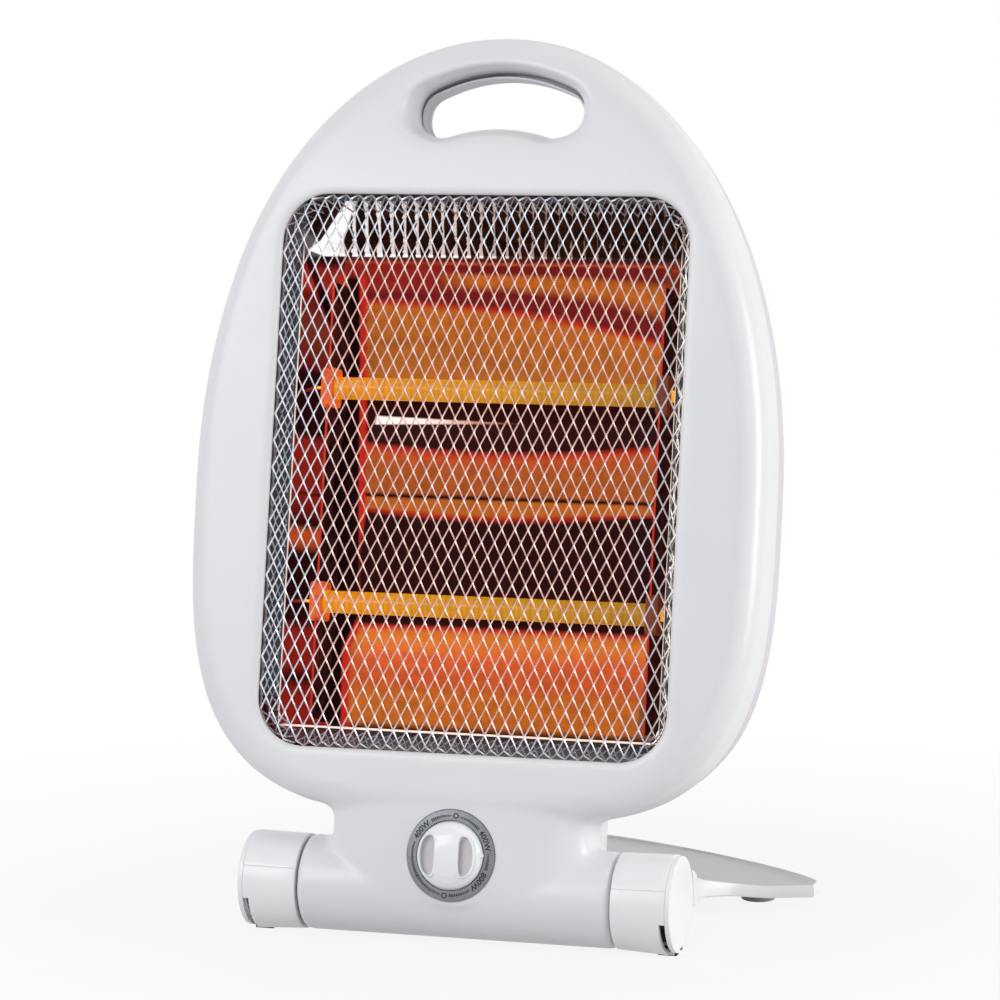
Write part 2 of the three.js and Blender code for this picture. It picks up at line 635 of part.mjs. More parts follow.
function selectorKnob() {
  const profile = [
    [0, knobFront], [knob.radius - knob.edge, knobFront], [knob.radius, knobFront + knob.edge],
    [knob.radius, -knob.back], [0, -knob.back],
  ].map(([r, y]) => new THREE.Vector2(r, y));
  const disc = solidOf(new THREE.LatheGeometry(profile, largeSides).translate(0, 0, dial.centre));
  const socket = rodY(
    shaft.radius + clearance, shaftFront - clearance, overrun - knob.back, 0, dial.centre);
  const scoops = [-1, 1].map((side) => {
    const bowl = new THREE.SphereGeometry(1, 12, 8);
    bowl.scale(knob.scoopHalfWidth, knob.scoopDepth, knob.scoopHalfHeight);
    return solidOf(bowl.translate(side * knob.scoopOffset, knobFront, dial.centre));
  });
  return [socket, ...scoops].reduce((whole, cut) => whole.subtract(cut), disc);
}

const nutBack = body.wall - dial.seat + clearance + nut.thickness;
const selectorFront = dial.bossDepth - dial.seat + clearance;

function selectorSwitch() {
  const housing = box(-selector.halfWidth, selector.halfWidth, selectorFront, selectorFront + selector.depth,
    dial.centre - selector.halfWidth, dial.centre + selector.halfWidth);
  const bush = rodY(
    selector.bushRadius, nutBack - nut.thickness, selectorFront + overrun, 0, dial.centre);
  const bore = rodY(shaft.radius + clearance, nutBack - nut.thickness - overrun, shaftBack + clearance,
    0, dial.centre, 16);
  return housing.add(bush).subtract(bore);
}

function selectorNut() {
  return rodY(nut.radius, nutBack - nut.thickness, nutBack, 0, dial.centre, 6)
    .subtract(rodY(selector.bushRadius + clearance, nutBack - nut.thickness - overrun, nutBack + overrun,
      0, dial.centre));
}

// The parts that rest on the barrel's shelves, and the cut-out on the tray's back.
function tipOverSwitch() {
  const z = shelf.level + clearance;
  const block = box(tipSwitch.centre - tipSwitch.halfWidth, tipSwitch.centre + tipSwitch.halfWidth,
    -tipSwitch.depth / 2, tipSwitch.depth / 2, z, z + tipSwitch.height - tipSwitch.halfWidth / 2);
  return block.add(rodY(tipSwitch.depth / 2, -tipSwitch.depth / 2, tipSwitch.depth / 2, tipSwitch.centre,
    z + tipSwitch.height - tipSwitch.depth / 2, 16));
}

function terminalBlock() {
  const z = shelf.level + clearance;
  const block = box(terminals.centre - terminals.halfWidth, terminals.centre + terminals.halfWidth,
    -terminals.depth / 2, terminals.depth / 2, z, z + terminals.height);
  const slots = [-1, 1].map((side) => {
    const x = terminals.centre + side * terminals.halfWidth / 2;
    const top = z + terminals.height;
    return box(x - terminals.slotWidth / 2, x + terminals.slotWidth / 2, -terminals.depth, terminals.depth,
      top - terminals.slotDepth, top + overrun);
  });
  return slots.reduce((whole, slot) => whole.subtract(slot), block);
}

function thermalCutout() {
  const y = tray.depth + sheet + clearance;
  const ears = box(-cutout.earReach, cutout.earReach, y, y + sheet,
    cutout.level - cutout.earHalfWidth, cutout.level + cutout.earHalfWidth);
  return rodY(cutout.radius, y, y + cutout.height, 0, cutout.level, 24).add(ears);
}

function cordGland() {
  const outside = neck.back + clearance;
  const inside = neck.back - body.wall - clearance;
  const at = (radius, y0, y1) => rodY(radius, y0, y1, gland.x, gland.level);
  return joined([
    at(gland.collar, outside, outside + gland.collarHeight),
    at(gland.radius, inside - gland.collarHeight, outside + gland.collarHeight / 2),
    at(gland.lip, inside - gland.collarHeight, inside),
  ]).subtract(at(
    gland.bore, inside - gland.collarHeight - overrun, outside + gland.collarHeight + overrun));
}

// A wire through hand-picked points.
function wirePiece(points) {
  const spots = points.map((point) => new THREE.Vector3(...point));
  const path = new THREE.CatmullRomCurve3(spots, false, 'centripetal');
  const section = new THREE.Shape();
  for (let side = 0; side < wire.sides; side += 1) {
    const angle = side / wire.sides * 2 * Math.PI;
    const spot = [wire.radius * Math.cos(angle), wire.radius * Math.sin(angle)];
    if (side) section.lineTo(...spot);
    else section.moveTo(...spot);
  }
  return solidOf(new THREE.ExtrudeGeometry(section, { steps: wire.steps, extrudePath: path }));
}

const stub = 3;
const lane = {
  side: trayHalfWidth + tray.flange / 2, outer: trayHalfWidth + tray.flange, back: 22,
  deep: 5, deeper: 9, nearDepth: 12, under: 59, neckTop: 50, neckMiddle: 38, beside: 33,
  low: -8, level: -4, rise: 14,
};
const leadStart = capSpan(-1)[0] - coil.leadLength - clearance;
const leadEnd = capSpan(1)[1] + clearance + sheet + clearance;
const switchBack = selectorFront + selector.depth + clearance;
const terminalTop = shelf.level + clearance + terminals.height + clearance;
const tipTop = shelf.level + clearance + tipSwitch.height + clearance;

// From the switch's back, under the tray and up beside its left end plate to a coil's left lead.
function feedRoute(level, startX, column, depth) {
  return [
    [startX, switchBack, dial.centre], [startX, switchBack + stub, dial.centre],
    [2 * startX, lane.nearDepth, 2 * dial.centre], [-lane.beside, depth, lane.neckTop],
    [-trayHalfWidth + lane.rise, depth, lane.under], [-lane.side, depth, lane.under + stub],
    [-column, depth, lane.under + lane.rise], [-column, depth / 2, (level + lane.under) / 2],
    [-column, tube.depth, level - lane.rise], [-lane.side - stub, tube.depth, level - stub],
    [-trayHalfWidth - stub, tube.depth, level], [leadStart - stub, tube.depth, level],
    [leadStart, tube.depth, level],
  ];
}

// From a coil's right lead, round the right end plate and behind the tray to the cut-out.
function returnRoute(level, endLevel) {
  return [
    [leadEnd, tube.depth, level], [leadEnd + stub, tube.depth, level], [lane.side, stub, level],
    [lane.side, lane.nearDepth, level], [lane.side - stub, lane.back, level],
    [trayHalfWidth / 2, lane.back, (level + endLevel) / 2], [cutout.radius + stub, lane.back, endLevel],
    [cutout.radius + clearance, lane.back, endLevel],
  ];
}

const wireRoutes = {
  wire_live: [
    [terminals.centre - terminals.halfWidth - clearance, 0, lane.level],
    [terminals.centre - terminals.halfWidth - stub, 0, lane.level],
    [selector.halfWidth, lane.deep, lane.low], [-selector.halfWidth, lane.deep, lane.low],
    [tipSwitch.centre + tipSwitch.halfWidth + stub, 0, lane.level],
    [tipSwitch.centre + tipSwitch.halfWidth + clearance, 0, lane.level],
  ],
  wire_feed: [
    [tipSwitch.centre, 0, tipTop], [tipSwitch.centre, 0, tipTop + stub],
    [-lane.beside, 0, dial.centre], [-selector.halfWidth - stub, 0, dial.centre],
    [-selector.halfWidth - clearance, 0, dial.centre],
  ],
  wire_upper_feed: feedRoute(tube.upper, -stub, lane.outer, lane.deep),
  wire_lower_feed: feedRoute(tube.lower, stub, lane.side, lane.deeper),
  wire_upper_return: returnRoute(tube.upper, cutout.level + stub),
  wire_lower_return: returnRoute(tube.lower, cutout.level - stub),
  wire_neutral: [
    [0, lane.back, cutout.level - cutout.radius - clearance],
    [0, lane.back, cutout.level - cutout.radius - stub],
    [trayHalfWidth / 2, lane.back, rear.lowSlopeTo + lane.rise],
    [trayHalfWidth + stub, lane.back, rear.lowSlopeTo + stub],
    [lane.side + stub, lane.nearDepth, tray.bottom + lane.rise],
    [lane.side + stub, lane.deeper, lane.under + stub],
    [trayHalfWidth - lane.rise, lane.deep, lane.under],
    [neck.halfWidth, lane.deep, neck.frontTop + stub],
    [lane.beside, lane.deep, lane.neckMiddle], [lane.beside, stub, dial.centre],
    [terminals.centre, 0, terminalTop + stub], [terminals.centre, 0, terminalTop],
  ],
};

function casingScrew(x, z) {
  const seat = rearSeam + well.seatDepth + clearance;
  return rodY(screw.headRadius, seat, seat + screw.headHeight, x, z, smallSides)
    .add(rodY(screw.radius, seat - screw.length, seat + screw.headHeight / 2, x, z, smallSides));
}

// The hinge at each barrel end. Everything here is drawn for the right side and mirrored.
const endWallInside = barrel.halfLength - barrel.endWall;
const hubStart = barrel.halfLength + hinge.gap;
const hubEnd = hubStart + hub.length;
const hubWallEnd = hubStart + hub.innerWall;
const washerStart = hubWallEnd + clearance;
const nutStart = washerStart + washer.thickness + clearance;

function span(side, x0, x1) {
  return side < 0 ? [-x1, -x0] : [x0, x1];
}

function sideRod(side, radius, x0, x1, sides = roundSides) {
  return rodX(radius, ...span(side, x0, x1), 0, 0, sides);
}

function sideRing(side, outer, inner, x0, x1) {
  return sideRod(side, outer, x0, x1).subtract(sideRod(side, inner, x0 - overrun, x1 + overrun));
}

function hingeSpindle(side) {
  const flangeEnd = endWallInside - clearance;
  return sideRod(side, hinge.flange, flangeEnd - hinge.flangeLength, flangeEnd)
    .add(sideRod(side, hinge.radius, flangeEnd - hinge.flangeLength, hinge.reach))
    .subtract(sideRod(side, hinge.bore, flangeEnd - hinge.flangeLength - overrun, hinge.reach + overrun));
}

// A wedge about the hinge axis between two angles, measured from the back upwards.
function wedge(side, x0, x1, from, to) {
  const reach = 2 * barrel.radius;
  const outline = [[0, 0]];
  const steps = 8;
  for (let step = 0; step <= steps; step += 1) {
    const angle = THREE.MathUtils.degToRad(from + (to - from) * step / steps);
    outline.push([reach * Math.cos(angle), reach * Math.sin(angle)]);
  }
  return prismX(outline, ...span(side, x0, x1));
}

const hubRoom = (side, x0, x1) => sideRod(side, hubInside, x0, x1, largeSides);
const shellEnd = hubEnd - hub.discThickness - clearance;
const partingGap = THREE.MathUtils.radToDeg(clearance / 2 / barrel.radius);
const hubInside = barrel.radius - hub.wall;
const screwX = hubStart + coverScrew.inset;
const padX = hubEnd - pad.frontInset;

// The foot's half width along its depth: arms beside the barrel, then a wide leaf.
function footHalfWidth(y) {
  if (y <= foot.armEnd) {
    const share = Math.max(0, y - barrel.radius) / (foot.armEnd - barrel.radius);
    return hubEnd + (foot.armHalfWidth - hubEnd) * Math.min(1, share * 2);
  }
  if (y <= foot.tipFront) {
    const share = Math.sin((y - foot.armEnd) / (foot.tipFront - foot.armEnd) * Math.PI / 2) ** 1.5;
    return foot.armHalfWidth + (foot.tipHalfWidth - foot.armHalfWidth) * share;
  }
  if (y <= foot.tipBack) return foot.tipHalfWidth;
  const share = (y - foot.tipBack) / (foot.depth - foot.tipBack);
  return foot.tipHalfWidth * (1 - share ** 1.25) ** 0.8;
}

const levelShare = (y) => Math.min(1, (y - foot.rootDepth) / (foot.levelFrom - foot.rootDepth));
const footTop = (y) => foot.rootTop + (foot.levelTop - foot.rootTop) * levelShare(y);
const footBottom = (y) => foot.rootBottom
  + (foot.levelBottom - foot.rootBottom) * Math.sin(levelShare(y) * Math.PI / 2);

const footStationShares = [0, 0.1, 0.25, 0.41, 0.43, 0.45, 0.48, 0.5, 0.56, 0.66, 0.77, 0.87, 0.94, 0.985];
const footStations = footStationShares.map((share) => foot.rootDepth + (foot.depth - foot.rootDepth) * share);

function footBlock(inset, lift, drop) {
  return loft(footStations.map((y) => {
    const half = Math.max(footHalfWidth(y) - inset, foot.skirt);
    const station = Math.min(y, foot.depth - foot.skirt - inset);
    const [low, high] = [footBottom(y) - drop, footTop(y) - lift];
    return [
      [half, station, low], [half, station, high - foot.edge], [half - foot.edge, station, high],
      [half * dishShare, station, high - foot.dish * dishShare], [0, station, high - foot.dish],
      [-half * dishShare, station, high - foot.dish * dishShare],
      [foot.edge - half, station, high], [-half, station, high - foot.edge], [-half, station, low],
    ];
  }));
}

const rearPadSeat = foot.levelTop - foot.dish - foot.skin;

function footPlate() {
  const slot = box(-hubStart, hubStart, -overrun, foot.slotDepth, -hingeHeight, barrel.radius);
  const underside = box(-body.halfWidth - overrun, body.halfWidth + overrun,
    foot.slotDepth + foot.skirt, foot.depth, -hingeHeight, barrel.radius);
  const pocket = footBlock(foot.skirt, foot.skin, overrun).intersect(underside);
  const ribs = [-ribShare, 0, ribShare].map((share) => box(
    share * foot.armHalfWidth - foot.rib / 2, share * foot.armHalfWidth + foot.rib / 2,
    foot.slotDepth, foot.depth * ribLengthShare, -hingeHeight, 0));
  const padSeats = [-1, 1].map((side) => rodZ(
    pad.rearRadius, rearPadSeat, foot.levelTop, side * rearPadX, pad.rearY, roundSides));
  const block = footBlock(0, 0, 0);
  const leaf = block.subtract(pocket).subtract(slot).add(joined([...ribs, ...padSeats]).intersect(block));
  const sides = [-1, 1].map((side) => {
    const upperSector = wedge(side, hubStart - overrun, hubEnd,
      hubAngle.rearParting + partingGap, hubAngle.frontParting - partingGap);
    const skin = sideRod(side, barrel.radius, hubStart, shellEnd, largeSides)
      .subtract(hubRoom(side, hubStart - overrun, shellEnd + overrun)).intersect(upperSector);
    const wall = sideRod(side, hubInside - clearance, hubStart, hubWallEnd, largeSides);
    const link = sideRod(side, barrel.radius - hub.wall / 2, hubStart, hubWallEnd, largeSides)
      .intersect(upperSector).add(wall);
    const post = rodZ(coverScrew.boss, clearance - Math.sqrt(hubInside ** 2 - coverScrew.boss ** 2),
      barrel.radius - hub.wall / 2, side * screwX, 0, 12);
    return { skin: joined([skin, link, post]), room: hubRoom(side, hubWallEnd, shellEnd + overrun) };
  });
  const cleared = sides.reduce((whole, { room }) => whole.subtract(room), leaf);
  const outside = [-1, 1].map((side) => sideRod(
    side, barrel.radius + clearance, hubStart - overrun, shellEnd + overrun, largeSides,
  ).intersect(wedge(
    side, hubStart - overrun, hubEnd + overrun, hubAngle.frontParting, fullTurn + hubAngle.rearParting)));
  const trimmed = outside.reduce((whole, cut) => whole.subtract(cut), cleared);
  const whole = joined([trimmed, ...sides.map(({ skin }) => skin)]);
  const bores = [-1, 1].flatMap((side) => [
    sideRod(side, hinge.radius + clearance, hubStart - overrun, hubWallEnd + overrun),
    rodZ(coverScrew.radius + clearance, -barrel.radius, coverScrew.length - barrel.radius + clearance,
      side * screwX, 0, 10),
    box(...span(side, shellEnd, hubEnd + overrun), -barrel.radius, barrel.radius + overrun,
      -hingeHeight, hingeHeight),
  ]);
  return bores.reduce((piece, cut) => piece.subtract(cut), whole);
}

function hubCover(side) {
  const skin = sideRod(side, barrel.radius, hubStart, shellEnd, largeSides)
    .subtract(hubRoom(side, hubStart - overrun, shellEnd + overrun))
    .intersect(wedge(side, hubStart - overrun, hubEnd, hubAngle.frontParting + partingGap,
      fullTurn + hubAngle.rearParting - partingGap));
  const slitEnd = shellEnd - hub.slitInset;
  const slit = wedge(side, slitEnd - hub.slitWidth, slitEnd, hubAngle.slitFrom, hubAngle.slitTo);
  const upTo = (radius, top, x) => rodZ(radius + clearance, -hingeHeight, top - barrel.radius, side * x, 0);
  const headRoom = upTo(coverScrew.headRadius, coverScrew.headHeight, screwX);
  const hole = upTo(coverScrew.radius, overrun, screwX);
  const recess = upTo(pad.frontRadius, pad.recess, padX);
  return [slit, headRoom, hole, recess].reduce((whole, cut) => whole.subtract(cut), skin);
}

function endDisc(side) {
  const face = sideRod(side, barrel.radius, hubEnd - hub.discThickness, hubEnd, largeSides);
  const spigot = sideRing(side, disc.spigotOuter, disc.spigotInner,
    hubEnd - hub.discThickness - disc.spigotLength, hubEnd - hub.discThickness / 2);
  return face.add(spigot);
}

function hubCoverScrew(side) {
  const top = coverScrew.headHeight - barrel.radius - clearance;
  const x = side * screwX;
  return rodZ(coverScrew.headRadius, top - coverScrew.headHeight + clearance, top, x, 0, 12)
    .add(rodZ(coverScrew.radius, top - clearance, coverScrew.length - barrel.radius, x, 0, 8));
}

const frontPad = (side) => rodZ(
  pad.frontRadius, -hingeHeight, pad.recess - barrel.radius - clearance, side * padX, 0, 16);
const rearPad = (side) => rodZ(
  pad.rearRadius, -hingeHeight, rearPadSeat - clearance, side * rearPadX, pad.rearY, roundSides);

// Colours and surfaces
const finishes = {
  whitePlastic: { color: 0xe9eaec, roughness: 0.38, metalness: 0 },
  greyPlastic: { color: 0xb9b7bc, roughness: 0.5, metalness: 0 },
  dialGrey: { color: 0x8f9499, roughness: 0.45, metalness: 0 },
  steel: { color: 0xc9ccd0, roughness: 0.3, metalness: 1 },
  polished: { color: 0xd8d9dc, roughness: 0.15, metalness: 1 },
  quartz: { color: 0xf2a93b, roughness: 0.1, metalness: 0 },
  glow: { color: 0xff7a1a, roughness: 0.6, metalness: 0.3 },
  ceramic: { color: 0xe6d8c4, roughness: 0.7, metalness: 0 },
  blackPlastic: { color: 0x1d1d1f, roughness: 0.5, metalness: 0 },
  rubber: { color: 0x141414, roughness: 0.9, metalness: 0 },
  redWire: { color: 0xa83226, roughness: 0.6, metalness: 0 },
  blueWire: { color: 0x2c4f9e, roughness: 0.6, metalness: 0 },
};

function named(group, name, solid, finish) {
  const mesh = new THREE.Mesh(geometryOf(solid), new THREE.MeshStandardMaterial(finishes[finish]));
  mesh.name = name;
  group.add(mesh);
}

const heater = new THREE.Group();
const bodyGroup = new THREE.Group();
const footGroup = new THREE.Group();
bodyGroup.rotation.x = -leanBack;
bodyGroup.position.z = hingeHeight;
footGroup.position.z = hingeHeight;
heater.add(bodyGroup, footGroup);

named(bodyGroup, 'front_casing', frontCasing(), 'whitePlastic');
named(bodyGroup, 'rear_casing', rearCasing(), 'greyPlastic');
named(bodyGroup, 'grille', grillePiece(), 'steel');
named(bodyGroup, 'reflector_tray', reflectorTray(), 'polished');
named(bodyGroup, 'reflector_upper', troughPiece(trough.parting + clearance, trough.highest), 'polished');
named(bodyGroup, 'reflector_lower', troughPiece(trough.lowest, trough.parting - clearance), 'polished');
named(bodyGroup, 'dial_ring', dialRing(), 'dialGrey');
named(bodyGroup, 'selector_knob', selectorKnob(), 'whitePlastic');
named(bodyGroup, 'switch_shaft', rodY(shaft.radius, shaftFront, shaftBack, 0, dial.centre, 16), 'steel');
named(bodyGroup, 'selector_switch', selectorSwitch(), 'blackPlastic');
named(bodyGroup, 'selector_nut', selectorNut(), 'steel');
named(bodyGroup, 'tip_over_switch', tipOverSwitch(), 'blackPlastic');
named(bodyGroup, 'terminal_block', terminalBlock(), 'ceramic');
named(bodyGroup, 'thermal_cutout', thermalCutout(), 'blackPlastic');
named(bodyGroup, 'cord_gland', cordGland(), 'rubber');
[['upper', tube.upper], ['lower', tube.lower]].forEach(([level, z]) => {
  named(bodyGroup, `quartz_tube_${level}`, quartzTube(z), 'quartz');
  named(bodyGroup, `heating_coil_${level}`, heatingCoil(z), 'glow');
});
Object.entries(wireRoutes).forEach(([name, points]) => {
  named(bodyGroup, name, wirePiece(points), name === 'wire_neutral' ? 'blueWire' : 'redWire');
});
casingSpots.forEach(([name, x, z]) => named(bodyGroup, `casing_screw_${name}`, casingScrew(x, z), 'steel'));
named(footGroup, 'foot_plate', footPlate(), 'whitePlastic');
[['left', -1], ['right', 1]].forEach(([word, side]) => {
  named(bodyGroup, `reflector_end_${word}`, reflectorEnd(side), 'polished');
  named(bodyGroup, `tube_bracket_${word}`, tubeBracket(side), 'steel');
  named(bodyGroup, `ceramic_cap_upper_${word}`, ceramicCap(side, tube.upper), 'ceramic');
  named(bodyGroup, `ceramic_cap_lower_${word}`, ceramicCap(side, tube.lower), 'ceramic');
  named(bodyGroup, `hinge_spindle_${word}`, hingeSpindle(side), 'steel');
  named(bodyGroup, `spindle_nut_${word}`, sideRing(side, spindleNut.outer, hinge.radius + clearance,
    nutStart, nutStart + spindleNut.thickness), 'steel');
  named(bodyGroup, `friction_washer_${word}`, sideRing(side, washer.outer, hinge.radius + clearance,
    washerStart, washerStart + washer.thickness), 'steel');
  named(footGroup, `hub_cover_${word}`, hubCover(side), 'whitePlastic');
  named(footGroup, `hub_cover_screw_${word}`, hubCoverScrew(side), 'steel');
  named(footGroup, `end_disc_${word}`, endDisc(side), 'whitePlastic');
  named(footGroup, `foot_pad_front_${word}`, frontPad(side), 'rubber');
  named(footGroup, `foot_pad_rear_${word}`, rearPad(side), 'rubber');
});

// The origin is under the middle of the heater's box, on the floor.
const bounds = new THREE.Box3().setFromObject(heater, true);
heater.position.set(0, -bounds.getCenter(new THREE.Vector3()).y, -bounds.min.z);

export default heater;
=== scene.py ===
import math

import bmesh
import bpy
from mathutils import Matrix, Quaternion, Vector, noise


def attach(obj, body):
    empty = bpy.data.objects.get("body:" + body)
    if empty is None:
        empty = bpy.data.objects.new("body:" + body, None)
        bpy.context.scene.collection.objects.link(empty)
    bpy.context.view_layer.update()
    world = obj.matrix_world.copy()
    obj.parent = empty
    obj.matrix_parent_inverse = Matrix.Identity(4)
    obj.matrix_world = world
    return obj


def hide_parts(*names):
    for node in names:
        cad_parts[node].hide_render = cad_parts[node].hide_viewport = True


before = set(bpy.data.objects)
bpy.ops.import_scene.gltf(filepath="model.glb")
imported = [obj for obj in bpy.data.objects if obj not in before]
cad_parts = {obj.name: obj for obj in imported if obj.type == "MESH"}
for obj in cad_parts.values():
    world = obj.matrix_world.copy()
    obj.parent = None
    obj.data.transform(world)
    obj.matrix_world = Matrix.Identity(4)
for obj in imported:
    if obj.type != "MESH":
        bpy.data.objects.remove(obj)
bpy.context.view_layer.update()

scene = bpy.context.scene

# The camera: a long lens a little to the right of the heater's front and slightly above it, where the
# photograph was taken from.
camera_turn, camera_rise = math.radians(17.137), math.radians(6.266)
camera_distance, looked_at = 1.66369, Vector((0.016571, -0.08141, 0.195791))
towards_camera = Vector((
    math.sin(camera_turn) * math.cos(camera_rise),
    -math.cos(camera_turn) * math.cos(camera_rise),
    math.sin(camera_rise)))
camera = bpy.data.objects.new("camera", bpy.data.cameras.new("camera"))
camera.data.sensor_width = 36
camera.data.lens = 138.12
camera.location = looked_at + camera_distance * towards_camera
camera.rotation_euler = (math.pi / 2 - camera_rise, 0, camera_turn)
scene.collection.objects.link(camera)
scene.camera = camera


# The studio: a matt white paper floor under an even white room, with a wide soft lamp on the right and in
# front, and a weak one overhead. The floor and the room show as white, and the floor keeps the shadow.
def linear(hex_colour):
    """An sRGB hex colour as the linear values that Blender takes."""
    parts = [int(hex_colour[i:i + 2], 16) / 255 for i in (1, 3, 5)]
    return [p / 12.92 if p <= 0.04045 else ((p + 0.055) / 1.055) ** 2.4 for p in parts] + [1.0]


def feed(tree, node, inputs):
    """Sets a node's inputs to values, or links them to sockets or to other nodes' first outputs."""
    for name, value in inputs.items():
        if isinstance(value, bpy.types.Node):
            value = value.outputs[0]
        if isinstance(value, bpy.types.NodeSocket):
            tree.links.new(value, node.inputs[name])
        else:
            node.inputs[name].default_value = value


def add(tree, kind, inputs=None, stops=None, **settings):
    """Adds a node. An input is a value, a socket or a node; stops are a ramp's places and colours."""
    node = tree.nodes.new("ShaderNode" + kind)
    for name, value in settings.items():
        setattr(node, name, value)
    feed(tree, node, inputs or {})
    for i, (place, colour) in enumerate(stops or []):
        ramp = node.color_ramp.elements
        stop = ramp[i] if i < 2 else ramp.new(place)
        stop.position, stop.color = place, linear(colour)
    return node


def between(value, before, after, low=0.0, high=1.0):
    """The inputs of a soft edge: low up to one place and high past another, which may lie either way."""
    return {"Value": value, "From Min": before, "From Max": after, "To Min": low, "To Max": high}


def finish_named(name):
    """A new material, with its node tree and its main shader."""
    material = bpy.data.materials.new(name)
    material.use_nodes = True
    return material, material.node_tree, material.node_tree.nodes["Principled BSDF"]


def grained(name, grain, light, dark, gloss, bump=0.0, depth=0.2, detail=3.0, cells=False, clouds=None,
            ends=(0.3, 0.7)):
    """A material whose colour, gloss and skin follow a grain of a size in millimetres, noise or cells.

    The gloss is one roughness, or a lowest and a highest. The colour may have clouds of its own size.
    """
    material, tree, shader = finish_named(name)
    place = {"Vector": add(tree, "TexCoord").outputs["Object"]}
    if cells:
        pattern = add(tree, "TexVoronoi", {**place, "Scale": 1000 / grain}).outputs["Color"]
    else:
        pattern = add(tree, "TexNoise", {**place, "Scale": 1000 / grain, "Detail": detail}).outputs["Fac"]
    tint = pattern
    if clouds:
        tint = add(tree, "TexNoise", {**place, "Scale": 1000 / clouds, "Detail": 4.0}).outputs["Fac"]
    tint = add(tree, "ValToRGB", {"Fac": tint}, stops=list(zip(ends, (dark, light))))
    if isinstance(gloss, tuple):
        gloss = add(tree, "MapRange", between(pattern, 0.0, 1.0, *gloss))
    feed(tree, shader, {"Base Color": tint, "Roughness": gloss})
    if bump:
        skin = {"Height": pattern, "Strength": bump, "Distance": depth / 1000}
        feed(tree, shader, {"Normal": add(tree, "Bump", skin)})
    return material, tree, shader


def shown_white(tree):
    """1 for a ray from the camera, from gloss or through glass, and 0 for one that lights the heater."""
    rays = add(tree, "LightPath").outputs
    shown = rays["Is Camera Ray"]
    for kind in ("Is Glossy Ray", "Is Transmission Ray"):
        shown = add(tree, "Math", {0: shown, 1: rays[kind]}, operation="MAXIMUM")
    return shown


def as_object(bm, name="work"):
    mesh = bpy.data.meshes.new(name)
    bm.to_mesh(mesh)
    bm.free()
    piece = bpy.data.objects.new(name, mesh)
    scene.collection.objects.link(piece)
    return piece


paper, tree, shader = grained("matt_paper_floor", 166.7, "#cfcfd0", "#cacacc", 0.8)
away = add(tree, "VectorMath", {0: add(tree, "TexCoord").outputs["Object"]}, operation="LENGTH")
fade = add(tree, "MapRange", between(away.outputs["Value"], 0.15, 0.5, 0.88))
seen = add(tree, "Math", {0: shown_white(tree), 1: fade}, operation="MULTIPLY")
white = add(tree, "Emission", {"Color": (1, 1, 1, 1), "Strength": 1.0})
mixed = add(tree, "MixShader", {0: seen, 1: shader, 2: white})
feed(tree, tree.nodes["Material Output"], {"Surface": mixed})
bm = bmesh.new()
bmesh.ops.create_grid(bm, x_segments=8, y_segments=8, size=6)
floor = as_object(bm, "studio_floor")
floor.data.materials.append(paper)

room = bpy.data.worlds.new("white_room")
room.use_nodes = True
level = add(room.node_tree, "MapRange", between(shown_white(room.node_tree), 0.0, 1.0, 0.46))
feed(room.node_tree, room.node_tree.nodes["Background"], {"Color": (1, 1, 1, 1), "Strength": level})
scene.world = room

lamp_spots = [
    ("right_lamp", (2.1, -0.1, 0.5), (0.9, 1.3), 26.5, "#ffffff"),
    ("front_lamp", (-1.05, -1.75, 1.05), (1.2, 1.0), 18.0, "#fbfcff"),
    ("top_lamp", (0.0, 0.1, 1.8), (1.4, 1.2), 1.6, "#ffffff"),
]
heater_middle = Vector((0, 0, 0.2))
for name, spot, size, power, colour in lamp_spots:
    lamp = bpy.data.lights.new(name, "AREA")
    lamp.shape = "RECTANGLE"
    lamp.size, lamp.size_y = size
    lamp.energy = power
    lamp.color = linear(colour)[:3]
    holder = bpy.data.objects.new(name, lamp)
    holder.location = spot
    holder.rotation_euler = (heater_middle - Vector(spot)).to_track_quat("-Z", "Y").to_euler()
    scene.collection.objects.link(holder)
scene.view_settings.view_transform = "Standard"


# The front shell: one injection moulding in white ABS, with the window, the handle opening, the neck and
# the front half of the barrel. It is blocked out, melted together so that its corners round, and hollowed.
# Its sizes are millimetres from the hinge's axis: x to the right, y to the back and z up the leaning body.
wall, seam = 2.2, 8
body_front, body_top, lean_start = 23, 378, 280
window_half, window_low, window_high, window_corner = 93.2, 60, 305.1, 21
arc_height, arc_radius, arc_turn, slot_half, slot_end = 291.1, 58.5, 0.48, 11, 27
neck_half, neck_front, neck_back = 58.7, 21.3, 21
barrel_radius, barrel_half, barrel_edge, spindle_hole = 21, 71.3, 1.4, 11.3
dial_height, dial_boss = 15.7, 22.4
wide = 140


def abs_plastic(name, light, dark, roughness):
    """Moulded ABS: soft clouding in the colour, and a fine orange-peel skin that breaks up the gloss."""
    gloss = roughness - 0.04, roughness + 0.05
    material, tree, shader = grained(name, 0.9, light, dark, gloss, 0.06, detail=2.0, clouds=45.45)
    shader.inputs["IOR"].default_value = 1.53
    return material


def worked(bm, *steps):
    """A mesh after a row of modifiers, each given as its kind and its settings."""
    blank = as_object(bm)
    for kind, settings in steps:
        modifier = blank.modifiers.new(kind, kind)
        for name, value in settings.items():
            setattr(modifier, name, value)
    result = bmesh.new()
    result.from_mesh(blank.evaluated_get(bpy.context.evaluated_depsgraph_get()).to_mesh())
    bpy.data.objects.remove(blank)
    return result


def cut(bm, *tools):
    """Takes each tool's solid out of a solid."""
    blanks = [as_object(tool) for tool in tools]
    result = worked(bm, *[
        ("BOOLEAN", {"operation": "DIFFERENCE", "solver": "MANIFOLD", "object": blank}) for blank in blanks])
    for blank in blanks:
        bpy.data.objects.remove(blank)
    return result


